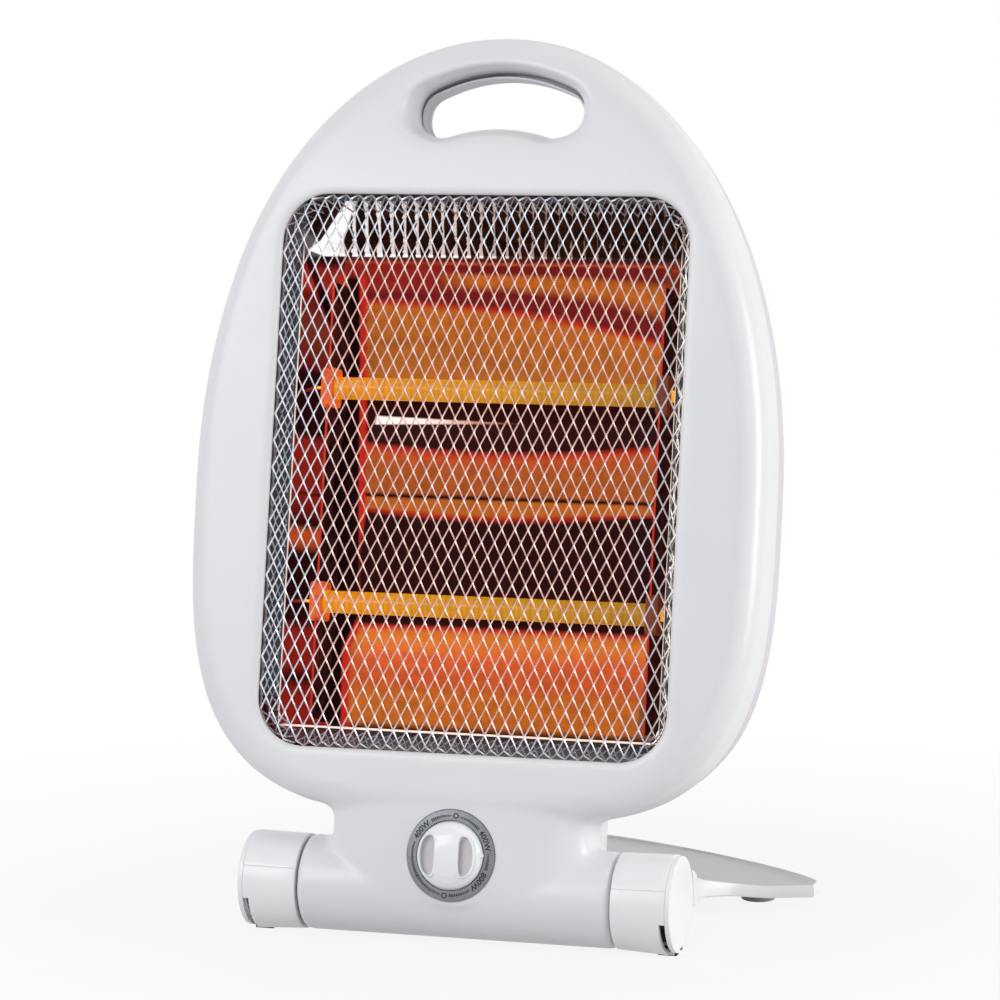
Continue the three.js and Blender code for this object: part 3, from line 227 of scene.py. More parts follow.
def melted(bm, grain, passes):
    """Solids that reach into each other become one skin, whose corners round as in a mould."""
    return worked(bm, ("REMESH", {"mode": "VOXEL", "voxel_size": grain}),
                  ("SMOOTH", {"factor": 0.5, "iterations": passes}))


def drawn_out(bm, face, along):
    """Draws a face out into a solid block, and gives the corners of its far end."""
    geometry = bmesh.ops.extrude_face_region(bm, geom=[face])["geom"]
    moved = [g for g in geometry if isinstance(g, bmesh.types.BMVert)]
    bmesh.ops.translate(bm, vec=along, verts=moved)
    bmesh.ops.recalc_face_normals(bm, faces=bm.faces[:])
    return moved


def ring_edges(bm, test):
    """The edges whose ends both pass a test."""
    return [e for e in bm.edges if all(test(v.co) for v in e.verts)]


def axis_edges(bm, axis, along=True):
    """The edges that run along an axis, 0 to 2, or else those that stay at one place on it."""
    return [e for e in bm.edges if (abs(e.verts[0].co[axis] - e.verts[1].co[axis]) > 1) == along]


def rounded(bm, edges, radius, segments=3):
    bmesh.ops.bevel(bm, geom=edges, offset=radius, segments=segments, profile=0.5, affect="EDGES", material=-1)


def egg_block(inset, front, back, front_edge=0, back_edge=0):
    """A block with the body's egg outline: two half superellipses that meet at its widest level."""
    half_width, widest, top, bottom = 131 - inset, 176.7, 377.8 - inset, 31 + inset
    bm = bmesh.new()
    bmesh.ops.create_circle(bm, cap_ends=True, radius=1, segments=200)
    for v in bm.verts:
        across, up = v.co.x, v.co.y
        power, reach = (2.1, top - widest) if up > 0 else (3.4, widest - bottom)
        v.co = (math.copysign(abs(across) ** (2 / power), across) * half_width, front,
                widest + math.copysign(abs(up) ** (2 / power), up) * reach)
    drawn_out(bm, bm.faces[:][0], (0, back - front, 0))
    for y, edge in ((front, front_edge), (back, back_edge)):
        if edge:
            rounded(bm, ring_edges(bm, lambda co: abs(co.y - y) < 1e-4), edge, 9)
    return bm


def neck_block(half, front, back, corner_drop, top, lean):
    """The neck below the body. Its front rolls back towards its sides and leans out to the body's face."""
    bm = bmesh.new()
    spots = [-1 + i / 12 for i in range(25)]
    corners = [bm.verts.new((half * s, -front + corner_drop * abs(s) ** 6, 0)) for s in spots]
    corners += [bm.verts.new((half, back, 0)), bm.verts.new((-half, back, 0))]
    for v in drawn_out(bm, bm.faces.new(corners), (0, 0, top)):
        v.co.y -= lean if v.co.y < 0 else 0
    return bm


def rod(radius, start, end, segments=96):
    """A round bar from one point to another."""
    start, end = Vector(start), Vector(end)
    bm = bmesh.new()
    turn = (end - start).to_track_quat("Z", "Y").to_matrix().to_4x4()
    bmesh.ops.create_cone(bm, cap_ends=True, segments=segments, radius1=radius, radius2=radius,
                          depth=(end - start).length, matrix=Matrix.Translation((start + end) / 2) @ turn)
    return bm


def block(x0, x1, y0, y1, z0, z1):
    """A box between two places on each axis. The two along x may come in either order."""
    bm = bmesh.new()
    bmesh.ops.create_cube(bm, size=1)
    bmesh.ops.transform(bm, verts=bm.verts, matrix=Matrix.Translation(
        ((x0 + x1) / 2, (y0 + y1) / 2, (z0 + z1) / 2)) @ Matrix.Diagonal((abs(x1 - x0), y1 - y0, z1 - z0, 1)))
    return bm


def window_block(grow, front, back):
    """The window's outline, a rectangle with round corners, as a block."""
    bm = block(-window_half - grow, window_half + grow, front, back, window_low - grow, window_high + grow)
    rounded(bm, axis_edges(bm, 1), window_corner + grow, 14)
    return bm


def together(*parts):
    bm = bmesh.new()
    for part in parts:
        mesh = bpy.data.meshes.new("part")
        part.to_mesh(mesh)
        part.free()
        bm.from_mesh(mesh)
        bpy.data.meshes.remove(mesh)
    return bm


def handle_block(*levels):
    """The handle opening's bean shape, a slot along an arc, at levels with their growth and upper lift."""
    bm = bmesh.new()
    for y, grow, lift in levels:
        middle, half = Vector((0, y, arc_height)), slot_half + grow
        left, right = (Vector((s * math.sin(arc_turn), 0, math.cos(arc_turn))) for s in (-1, 1))
        tip = bm.verts.new(middle + (arc_radius + half) * left)
        for centre, angle, steps in (
                (middle, 2 * arc_turn, 24), (middle + arc_radius * right, math.pi, 16),
                (middle, -2 * arc_turn, 24), (middle + arc_radius * left, math.pi, 16)):
            tip = bmesh.ops.spin(bm, geom=[tip], cent=centre, axis=(0, 1, 0), angle=angle,
                                 steps=steps)["geom_last"][0]
        for v in bm.verts:
            if abs(v.co.y - y) < 1e-3:
                out = (math.hypot(v.co.x, v.co.z - arc_height) - arc_radius) / slot_half
                hump = 2.6 * (v.co.x / slot_end) ** 2 - 1.7
                v.co.z += lift * min(1, max(0, out)) + max(0, -out) * hump
                v.co.x += math.copysign(0.8 * max(0, abs(v.co.x) - slot_end) / slot_half, v.co.x)
    bmesh.ops.remove_doubles(bm, verts=bm.verts, dist=1e-3)
    rings = [ring_edges(bm, lambda co: abs(co.y - y) < 1e-3) for y, _, _ in levels]
    for near, far in zip(rings, rings[1:]):
        bmesh.ops.bridge_loops(bm, edges=near + far)
    bmesh.ops.holes_fill(bm, edges=rings[0] + rings[-1])
    bmesh.ops.recalc_face_normals(bm, faces=bm.faces[:])
    return bm


def barrel_block(radius, half_length, edge=0):
    bm = rod(radius, (-half_length, 0, 0), (half_length, 0, 0))
    if edge:
        rounded(bm, axis_edges(bm, 0, along=False), edge)
    return bm


millimetre = 0.001
hinge_spot = Matrix.Translation((0, -0.08141, 0.0225))
upright = hinge_spot @ Matrix.Scale(millimetre, 4)
leaned = hinge_spot @ Matrix.Rotation(math.radians(-10), 4, "X") @ Matrix.Scale(millimetre, 4)


def finished(bm, name, finishes, body, spot, stands_for=(), crease=35):
    """Puts a piece in its place as an object, with its finishes, and lets it ride on a body."""
    bmesh.ops.transform(bm, matrix=spot, verts=bm.verts)
    piece = as_object(bm, name)
    for finish in finishes:
        piece.data.materials.append(finish)
    piece.data.shade_smooth()
    piece.data.set_sharp_from_angle(angle=math.radians(crease))
    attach(piece, body)
    if stands_for:
        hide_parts(*stands_for)


white_abs = abs_plastic("white_moulded_abs", "#e9eaec", "#e6e7e9", 0.34)

handle_tool = handle_block((-40, 6.6, 0.4), (-23.2, 5.4, 0.6), (-21.5, 3.9, 1), (-19, 2.6, 1.6),
                           (-15.5, 1.3, 2.3), (-11, 0.4, 2.7), (-6, 0, 2.8), (20, 0, 2.8))
face = cut(egg_block(0, -body_front, 12, front_edge=10.5), window_block(0, -30, -14),
           window_block(1.3, -30, -21.9), handle_tool)
shell = melted(together(
    face, neck_block(neck_half, neck_front, 12, 9, 52, 1.4),
    barrel_block(barrel_radius, barrel_half, barrel_edge),
    rod(dial_boss, (0, -21.9, dial_height), (0, -10, dial_height))), 1.4, 6)

# The corners under the body are worn down further, into soft hollows.
for _ in range(26):
    corners = [v for v in shell.verts if 51 < abs(v.co.x) < 67 and 13 < v.co.z < 43 and v.co.y < 9]
    bmesh.ops.smooth_vert(shell, verts=corners, factor=0.5, use_axis_x=True, use_axis_y=True, use_axis_z=True)
room_inside = cut(egg_block(wall, wall - body_front, 20, front_edge=8.3),
                  handle_block((-30, 8.6, 1), (-21, 8, 1), (-17, 5, 2), (-11, 3, 2.8), (-5, 2.2, 2.8),
                               (30, 2.2, 2.8)))
shell = cut(shell, room_inside, neck_block(neck_half - wall, neck_front - wall, 20, 8, 60, 0),
            barrel_block(barrel_radius - wall, barrel_half - 2.6), block(-wide, wide, seam, 40, -40, 400),
            rod(dial_boss - 2.1, (0, -30, dial_height), (0, -21.5, dial_height)),
            rod(spindle_hole, (-80, 0, 0), (80, 0, 0)))

# The front face leans back above the window, towards the handle, and the seam stays flat.
for v in shell.verts:
    share = max(0, (v.co.z - lean_start) / (body_top - lean_start))
    v.co.y += 15.7 * share ** 2 * (seam - v.co.y) / (body_front + seam)
finished(shell, "front_shell", [white_abs], "heater_body", leaned, ["front_casing"])


# The rear shell: a satin grey ABS moulding that meets the front at the seam, with sloped top and bottom,
# two groups of vent slots and six screw wells. Its neck and half barrel are painted white.
grey_abs = abs_plastic("grey_satin_abs", "#d9d6db", "#d4d1d7", 0.46)
rear_depth, paint_line = 32, 41
handle_drop = (0, 0, -1.1)
screw_spots = [(s * x, z) for x, z in ((114, 130), (64, 332), (46, 30)) for s in (-1, 1)]


def parted(bm, spot, across, clear=False):
    """Cuts a solid's faces along a plane, and may take away what lies past it."""
    bmesh.ops.bisect_plane(bm, geom=bm.verts[:] + bm.edges[:] + bm.faces[:], plane_co=spot, plane_no=across,
                           clear_outer=clear)


def rear_body(inset, front):
    bm = egg_block(0.6 + inset, front, rear_depth - inset, back_edge=12 - inset)
    for spot, across in (((0, 10 - inset, 36), (0, 60, -22)), ((0, rear_depth - inset, 235), (0, 143, 20))):
        parted(bm, spot, across, clear=True)
        bmesh.ops.holes_fill(bm, edges=[e for e in bm.edges if e.is_boundary])
    bmesh.ops.recalc_face_normals(bm, faces=bm.faces[:])
    return bm


def screw_post(x, z):
    return rod(6, (x, 0, z), (x, 60, z), 32)


handle_tool = handle_block((-10, -1.3, 2.6), (12, -1.3, 2.6), (14, -0.8, 2.6), (16, 0.8, 2.8), (50, 4, 3))
bmesh.ops.translate(handle_tool, vec=handle_drop, verts=handle_tool.verts)
back = melted(together(
    cut(rear_body(0, 4), handle_tool), neck_block(neck_half, 12, neck_back, 9, 68, 0),
    barrel_block(barrel_radius, barrel_half, barrel_edge)), 1.5, 8)
slots = [block(x - 17, x + 17, 12, 50, z - 2, z + 2)
         for x in (-46, 0, 46) for z in (118, 131, 144, 236, 249, 262, 275, 288)]
for slot_tool in slots:
    rounded(slot_tool, axis_edges(slot_tool, 1), 1.6)
wells = [rod(3.6, (x, 11.3, z), (x, 50, z), 32) for x, z in screw_spots]
rear_room = cut(rear_body(wall, 0), handle_block((-30, 2, 2.4), (12, 2, 2.4), (60, 8, 2.4)),
                *[screw_post(x, z) for x, z in screw_spots])
neck_room = cut(neck_block(neck_half - wall, 12, neck_back - wall, 8, 70, 0),
                screw_post(46, 30), screw_post(-46, 30))
back = cut(back, rear_room, neck_room, barrel_block(barrel_radius - wall, barrel_half - 2.6),
           block(-wide, wide, -40, seam + 0.3, -40, 400), together(*slots), together(*wells),
           rod(spindle_hole, (-80, 0, 0), (80, 0, 0)), rod(5.3, (30, 10, 18), (30, 40, 18), 48))
parted(back, (0, 0, paint_line), (0, 0, 1))
for f in back.faces:
    f.material_index = 1 if f.calc_center_median().z < paint_line else 0
collar = cut(handle_block((0.5, -0.6, 2.6), (12, -0.6, 2.6)), handle_block((0, -1.3, 2.6), (13, -1.3, 2.6)))
bmesh.ops.translate(collar, vec=handle_drop, verts=collar.verts)
finished(together(back, collar), "rear_shell", [grey_abs, white_abs], "heater_body", leaned,
         ["rear_casing"])


# The hubs: each end of the barrel carries a round housing in white ABS. Its upper part belongs to the
# foot, its lower part is a separate cover with a slit, and a flat disc closes its end.
hub_start, hub_end, hub_wall = 72.1, 96.3, 2.6
cover_screw_place, strip_half = 83.9, 2.2
disc_profile = [(98.8, 0), (98.78, 14), (98.72, 19), (98.66, 20.4), (98.4, 20.9), (98.1, 21), (96.5, 21),
                (96.4, 20.9), (96.4, 18.1), (90.4, 18.1), (90.4, 16.5), (96.4, 16.5), (96.4, 0)]


def turned(profile, axis, centre=(0, 0, 0), steps=96, begin=0.0, angle=math.tau):
    """Turns a profile about an axis, 0 to 2, as on a lathe. Its points are places along it and radii."""
    along = Vector([axis == i for i in range(3)])
    out = Vector((axis > 0, axis == 0, 0))
    out.rotate(Quaternion(along, begin))
    bm = bmesh.new()
    spots = [bm.verts.new(Vector(centre) + place * along + radius * out) for place, radius in profile]
    edges = [bm.edges.new(pair) for pair in zip(spots, spots[1:])]
    bmesh.ops.spin(bm, geom=spots + edges, cent=centre, axis=along, angle=angle, steps=steps,
                   use_merge=angle == math.tau)
    bmesh.ops.remove_doubles(bm, verts=bm.verts, dist=1e-4)
    bmesh.ops.recalc_face_normals(bm, faces=bm.faces[:])
    return bm


def hub_skin(side, start, end, slit=None):
    """Part of a hub's round wall, between two angles measured from the back upwards."""
    slit_place = 93.7
    rows = [(side * x, barrel_radius) for x in (hub_start, 76, 84, 91, slit_place, hub_end)]
    bm = turned(rows, 0, steps=round((end - start) / 3), begin=math.radians(start),
                angle=math.radians(end - start))
    if slit:
        gone = []
        for f in bm.faces:
            middle = f.calc_center_median()
            angle = math.degrees(math.atan2(middle.z, middle.y)) % 360
            if slit_place < abs(middle.x) and slit[0] < angle < slit[1]:
                gone.append(f)
        bmesh.ops.delete(bm, geom=gone, context="FACES")
    for f in bm.faces:
        middle = f.calc_center_median()
        if f.normal.dot(Vector((0, middle.y, middle.z))) < 0:
            f.normal_flip()
    for v in bm.verts:
        swell = 0.06 if v.co.z < 0 else 0.02
        v.co.z *= 1 + swell * (abs(v.co.x) - hub_start) / (hub_end - hub_start)
    return worked(bm, ("SOLIDIFY", {"thickness": hub_wall, "offset": -1}),
                  ("BEVEL", {"width": 0.14, "segments": 2, "limit_method": "ANGLE"}))


sides = (-1, "left"), (1, "right")
# The hubs and the foot take the white ABS painted lighter, as the light that falls on them.
painted_light_abs = abs_plastic("white_abs_painted_light", "#f7f7f9", "#f4f4f6", 0.32)
for side, word in sides:
    cover = cut(hub_skin(side, 154.2, 347.6, slit=(192, 264)),
                rod(3.2, (side * cover_screw_place, 0, -30), (side * cover_screw_place, 0, -17), 40),
                block(side * 88.4, side * 97, -strip_half - 0.2, strip_half + 0.2, -30, -19.2))
    finished(cover, f"hub_cover_shell_{word}", [painted_light_abs], "foot", upright,
             [f"hub_cover_{word}"])
    disc = cut(turned([(side * x, radius) for x, radius in disc_profile], 0),
               block(side * 89, side * 99.5, -strip_half - 0.4, strip_half + 0.4, -25, -18.9),
               block(side * 89, side * 95.9, -20, -3, -19, -2.5))
    finished(disc, f"hub_end_disc_{word}", [painted_light_abs], "foot", upright,
             [f"end_disc_{word}"])


# The foot: a wide leaf of ABS on two arms that end in the upper parts of the hubs. Its sides are white,
# and its dished top is the same white painted a darker lilac grey as shade. It is drawn out section by section,
# hollowed and ribbed below.
foot_start, foot_end, foot_reach = 15, 196, 193
arm_half, flare_start, tip_half, tip_start, tip_end = 90, 70, 133.9, 106, 116
pad_side, pad_back = 104, 122


def foot_half_width(y):
    if y <= flare_start:
        return arm_half + 4.4 + 4.4 * math.cos(math.pi * min(1, max(0, y - 18) / 52))
    if y <= tip_start:
        return arm_half + (tip_half - arm_half) * ((y - flare_start) / (tip_start - flare_start)) ** 2.3
    if y <= tip_end:
        return tip_half
    return tip_half * (1 - ((y - tip_end) / (foot_end - tip_end)) ** 1.25) ** 0.8


def foot_fall(y):
    """How far the foot has come down from the hubs to the level leaf, 0 to 1."""
    return min(1, (y - foot_start) / 83)


def foot_level(y):
    return 10.5 - 22 * foot_fall(y)


def foot_section(y, inset, lift, drop):
    """The foot's outline at a place along it: a flat arch below, a dished top and a raised round rim."""
    share = foot_fall(y)
    high = foot_level(y) - lift
    low = -3.3 - 13.2 * math.sin(share * math.pi / 2) + 2.4 * math.sin(share ** 2.5 * math.pi) - drop
    half = max(foot_half_width(y) - inset, 3)
    raised = high + 0.6 + 1.8 * max(0, 1 - (y - foot_start) / 62) ** 1.5
    row = [(half, low + 0.6), (half, raised - 1), (half - 0.3, raised - 0.3), (half - 1, raised)]
    row += [(half * s, high - 1.5 * (1 - s ** 6) if s < 0.97 else high) for s in (0.96, 0.9, 0.8, 0.6, 0.3, 0)]
    row += [(-x, z) for x, z in row[-2::-1]]
    return row + [(-half + 0.6, low), (half - 0.6, low)]


def foot_block(inset, lift, drop):
    stations = [foot_start + (foot_end - foot_start) * s for s in (
        0, 0.05, 0.1, 0.17, 0.25, 0.33, 0.4, 0.415, 0.42, 0.43, 0.44, 0.45, 0.46, 0.47, 0.48, 0.49, 0.503,
        0.53, 0.558, 0.59, 0.63, 0.68, 0.73, 0.78, 0.83, 0.875, 0.91, 0.94, 0.965, 0.982)]
    bm = bmesh.new()
    ring = [bm.verts.new((x, foot_start, z)) for x, z in foot_section(foot_start, inset, lift, drop)]
    bm.faces.new(ring)
    for y in stations[1:]:
        edges = [bm.edges.get(pair) for pair in zip(ring, ring[1:] + ring[:1])]
        drawn = bmesh.ops.extrude_edge_only(bm, edges=edges)["geom"]
        fresh = {v for v in drawn if isinstance(v, bmesh.types.BMVert)}
        ring = [next(e.other_vert(v) for e in v.link_edges if e.other_vert(v) in fresh) for v in ring]
        for v, (x, z) in zip(ring, foot_section(y, inset, lift, drop)):
            v.co = (x, min(y, foot_reach - inset), z)
    bm.faces.new(ring)
    bmesh.ops.recalc_face_normals(bm, faces=bm.faces[:])
    return bm


hollow = cut(foot_block(3, 2.4, 4), block(-wide, wide, 0, 69, -40, 40),
             *[block(x - 1, x + 1, 60, 176, -40, 40) for x in (-45, 0, 45)],
             *[rod(8, (s * pad_side, pad_back, -40), (s * pad_side, pad_back, 0), 48) for s in (-1, 1)])
leaf = cut(foot_block(0, 0, 0), hollow, block(-hub_start, hub_start, -4, 66, -30, 30),
           rod(barrel_radius + 0.3, (-120, 0, 0), (-72, 0, 0)),
           rod(barrel_radius + 0.3, (72, 0, 0), (120, 0, 0)))
for f in leaf.faces:
    middle = f.calc_center_median()
    on_top = f.normal.z > 0.5 and middle.z > foot_level(middle.y) - 2
    f.material_index = 1 if on_top and abs(middle.x) < foot_half_width(middle.y) - 1.2 else 0
# The top is painted shade: the sides' white, darker and lilac.
painted_shade_leaf_abs = abs_plastic("white_abs_painted_shade", "#e9e5e9", "#e5e1e6", 0.5)
painted_shade_leaf_abs.node_tree.nodes["Principled BSDF"].inputs["Specular IOR Level"].default_value = 0.25
finished(leaf, "foot_leaf", [painted_light_abs, painted_shade_leaf_abs], "foot", upright, ["foot_plate"], 30)
for side, word in sides:
    inner, outer = side * hub_start, side * (hub_start + hub_wall)
    washer = turned([(inner, spindle_hole), (inner, 18.1), (outer, 18.1), (outer, spindle_hole),
                     (inner, spindle_hole)], 0)
    finished(together(hub_skin(side, -11.6, 154), washer), f"foot_hub_{word}", [painted_light_abs], "foot", upright)


# The foot's pads: a short black strip pressed into each lower hub cover, and a round pale grey pad under
# each side of the leaf. Both are matt rubber with a fine open grain.
floor_level = -22.5
rubber = grained("black_rubber", 0.625, "#232324", "#141414", 0.85, 0.4)[0]
pale_rubber = grained("pale_grey_rubber", 0.625, "#c6c6c8", "#b8b8ba", 0.85, 0.4)[0]
for side, word in sides:
    strip = block(side * 88.6, side * 97.2, -strip_half, strip_half, floor_level, -19)
    rounded(strip, strip.edges[:], 0.5, 2)
    finished(strip, f"front_pad_{word}", [rubber], "foot", upright, [f"foot_pad_front_{word}"])
    pad = turned([(floor_level, 0), (floor_level, 6.6), (-22.1, 7.6), (-21.3, 8), (-15.7, 8), (-15.7, 0)], 2,
                 steps=48)
    bmesh.ops.translate(pad, vec=(side * pad_side, pad_back, 0), verts=pad.verts)
    finished(pad, f"rear_pad_{word}", [pale_rubber], "foot", upright, [f"foot_pad_rear_{word}"])


# The dial ring: a flat grey plastic ring with a fine metallic fleck, glued into the front of the barrel
# and printed with the heat settings in black.
dial_centre, dial_face, print_radius = (0, 0, dial_height), -23, 17.3
dial_grey, tree, shader = grained("metallic_grey_lacquer", 0.2857, "#92969b", "#72767b", 0.42, 0.25, depth=0.1,
                                  cells=True, ends=(0.2, 0.9))
shader.inputs["Metallic"].default_value = 0.35
ring = turned([(-21.6, 15.3), (-22.8, 15.3), (dial_face, 15.5), (dial_face, 19.5), (-22.8, 19.9), (-22.4, 20),
               (-21.6, 20), (-21.6, 15.3)], 1, dial_centre)
finished(ring, "dial_plate", [dial_grey], "heater_body", leaned, ["dial_ring"])


def printed(words, angle, size):
    """A word printed along the dial, its foot towards the knob."""
    text = bpy.data.curves.new("print", "FONT")
    text.body, text.size, text.align_x, text.align_y = words, size, "CENTER", "CENTER"
    text.space_character, text.offset, text.resolution_u = 1.05, 0.09, 8
    holder = bpy.data.objects.new("print", text)
    scene.collection.objects.link(holder)
    bm = bmesh.new()
    bm.from_mesh(holder.evaluated_get(bpy.context.evaluated_depsgraph_get()).to_mesh())
    bpy.data.objects.remove(holder)
    for v in bm.verts:
        turn = math.radians(angle) - v.co.x / print_radius
        reach = print_radius + v.co.y
        v.co = (reach * math.cos(turn), dial_face - 0.06, dial_height + reach * math.sin(turn))
    return bm


def strokes(start, end):
    """A row of printed strokes along the dial, which grow along the row."""
    row = []
    count = int(abs(end - start) / 2.7)
    for i in range(count + 1):
        turn = math.radians(start + (end - start) * i / count)
        half = (0.7 + 0.7 * i / count) / 2
        stroke = block(print_radius - half, print_radius + half, dial_face - 0.07, dial_face - 0.04,
                       -0.27, 0.27)
        bmesh.ops.rotate(stroke, verts=stroke.verts, matrix=Matrix.Rotation(-turn, 4, "Y"))
        bmesh.ops.translate(stroke, vec=dial_centre, verts=stroke.verts)
        row.append(stroke)
    return together(*row)


ink = grained("black_screen_ink", 0.4, "#1f2123", "#131416", 0.6, detail=2.0)[0]
marks = together(
    printed("O", 84, 3.3), printed("400W", 142, 3.5), printed("400W", 25, 3.5), printed("800W", -38, 3.5),
    printed("O", -96, 3.3), strokes(76, 45), strokes(92, 121), strokes(5, -17), strokes(-58, -88),
    strokes(163, 212), strokes(-104, -146))
finished(marks, "dial_print", [ink], "heater_body", leaned)


# The knob: white ABS, domed, with two flat-floored finger recesses inside soft raised rims and a small
# pointer at its edge. It is pressed on the switch's shaft.
recess_side, recess_half_width, recess_half_height = 8.6, 4.6, 9
knob_profile = [(-29.8, 0), (-29.6, 5), (-28.9, 9), (-27.6, 12), (-25.9, 13.9), (-24.4, 14.7), (-23.2, 14.9),
                (-22, 14.9), (-22, 0)]


def body_place(tree):
    """A point's place in millimetres from the hinge, in the body's own leaning frame, and a soft mottle."""
    place = add(tree, "TexCoord").outputs["Object"]
    turned_back = add(tree, "Mapping", {"Vector": place, "Location": (0, 84.08, -8.02), "Scale": [1000] * 3,
                                        "Rotation": (math.radians(10), 0, 0)})
    x, y, z = add(tree, "SeparateXYZ", {"Vector": turned_back}).outputs
    mottle = add(tree, "TexNoise", {"Vector": turned_back, "Scale": 0.22, "Detail": 4.0}).outputs["Fac"]
    return x, y, z, mottle


def where(tree, *edges, most=1.0):
    """A mask that reaches its most past every soft edge, each a value, where it begins and where it is full."""
    mask = None
    for value, before, after in edges:
        edge = add(tree, "MapRange", between(value, before, after, 0.0, 1.0 if mask else most))
        mask = add(tree, "Math", {0: mask, 1: edge}, operation="MULTIPLY") if mask else edge
    return mask


def laid_over(tree, colour, fresh, *edges, most=1.0):
    """A fresh colour laid over another one past every soft edge."""
    colour, fresh = (linear(c) if isinstance(c, str) else c for c in (colour, fresh))
    mask = where(tree, *edges, most=most)
    return add(tree, "MixRGB", {"Fac": mask, "Color1": colour, "Color2": fresh})


knob_face = turned(knob_profile, 1)
bmesh.ops.translate(knob_face, vec=dial_centre, verts=knob_face.verts)
rims, recesses = [], []
for side in (-1, 1):
    for pieces, start, end, across, inward, up in ((rims, -29.3, -24, 5.2, 3.1, 9.4),
                                                   (recesses, -34, -26.6, 4.4, 2.2, 8.7)):
        oval = rod(1, (0, start, 0), (0, end, 0), 64)
        for v in oval.verts:
            reach = across * v.co.x if v.co.x > 0 else -inward * abs(v.co.x) ** 0.6
            v.co.x = side * (7.6 + reach)
            v.co.z = dial_height + up * math.copysign(abs(v.co.z) ** 0.9, v.co.z)
        bmesh.ops.remove_doubles(oval, verts=oval.verts, dist=1e-3)
        bmesh.ops.recalc_face_normals(oval, faces=oval.faces[:])
        pieces.append(oval)
pointer = rod(1.2, (14.2, -25.6, 16.6), (14.2, -22.4, 16.6), 24)
knob_body = melted(cut(melted(together(knob_face, pointer, *rims), 0.4, 2), *recesses), 0.3, 3)
knob_body = cut(knob_body, rod(3.3, (0, -25.8, dial_height), (0, -20, dial_height), 32))

# The recesses' floors lie in shade, so their white is a little darker.
knob_abs = abs_plastic("glossy_white_abs", "#f7f8fa", "#f4f5f7", 0.24)
tree = knob_abs.node_tree
shader = tree.nodes["Principled BSDF"]
x, y, z, mottle = body_place(tree)
aside = add(tree, "Math", {0: x}, operation="ABSOLUTE")
oval = add(tree, "CombineXYZ", {"X": aside, "Y": z})
oval = add(tree, "VectorMath", {0: oval, 1: (recess_side, dial_height, 0)}, operation="SUBTRACT")
oval = add(tree, "VectorMath", {0: oval, 1: (recess_half_width, recess_half_height, 1)},
           operation="DIVIDE")
oval = add(tree, "VectorMath", {0: oval}, operation="LENGTH").outputs["Value"]
tint = laid_over(tree, shader.inputs["Base Color"].links[0].from_socket, "#d0cdd0", (oval, 1.0, 0.92),
                 (y, -28.6, -27.2))
feed(tree, shader, {"Base Color": tint})
finished(knob_body, "selector_knob_shell", [knob_abs], "knob", leaned, ["selector_knob"])


# The reflector: bright-rolled aluminium sheet, folded into a tray that holds two troughs behind the tubes.
# Its finish carries a painted reflection and a painted glow of the lit tubes: broad orange bands with painted
# dark ones between.
trough_middle, trough_half, trough_depth = 4, 75.75, 14.9


def glowing(tree, shader, colour, mottle, shine):
    """Metal that shows a glow on its front and sides: a dim metal under the colour's own light."""
    lean = add(tree, "SeparateXYZ", {"Vector": add(tree, "TexCoord").outputs["Normal"]}).outputs["Y"]
    behind = (lean, 0.3, 0.5)
    change = add(tree, "MapRange", between(mottle, 0.3, 0.7, 0.8, 1.14))
    glow = add(tree, "VectorMath", {0: colour, "Scale": change}, operation="SCALE")
    metal = add(tree, "VectorMath", {0: glow, "Scale": 0.35}, operation="SCALE")
    feed(tree, shader, {
        "Base Color": laid_over(tree, metal, "#a9a8a8", behind),
        "Emission Color": laid_over(tree, glow, "#000000", behind),
        "Roughness": add(tree, "MapRange", between(mottle, 0.0, 1.0, 0.24, 0.42)),
        "Emission Strength": shine, "Metallic": 0.9})


def graded(tree, value, colours):
    """Colours that follow a value, each given as its level and its colour."""
    low, high = colours[0][0], colours[-1][0]
    share = add(tree, "MapRange", between(value, low, high))
    return add(tree, "ValToRGB", {"Fac": share}, stops=[
        ((level - low) / (high - low), colour) for level, colour in colours])


def refinished(material, *names):
    """Gives pieces of the frame, whose shape stays, their finish."""
    for name in names:
        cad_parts[name].data.materials.clear()
        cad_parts[name].data.materials.append(material)


painted_glow_sheet, tree, shader = finish_named("polished_aluminium_painted_glow")
x, y, z, mottle = body_place(tree)
spot = add(tree, "CombineXYZ", {"X": x, "Y": y, "Z": z})

# The painted reflection bands lie at heights that droop to the right above the upper tube, and bow between the
# tubes.
droop = add(tree, "Math", {0: x, 1: 0.000686, 2: 0.1223}, operation="MULTIPLY_ADD")
droop = add(tree, "Math", {0: droop, 1: x}, operation="MULTIPLY")
height = add(tree, "Math", {0: droop, 1: where(tree, (z, 225, 245), (z, 276, 252)), 2: z},
             operation="MULTIPLY_ADD")
bow = add(tree, "Math", {0: x, 1: x}, operation="MULTIPLY")
for edges in (((z, 176, 190), (z, 215, 200)), ((z, 171.5, 166), (z, 140, 155))):
    height = add(tree, "Math", {0: bow, 1: where(tree, *edges, most=-0.0009), 2: height},
                 operation="MULTIPLY_ADD")

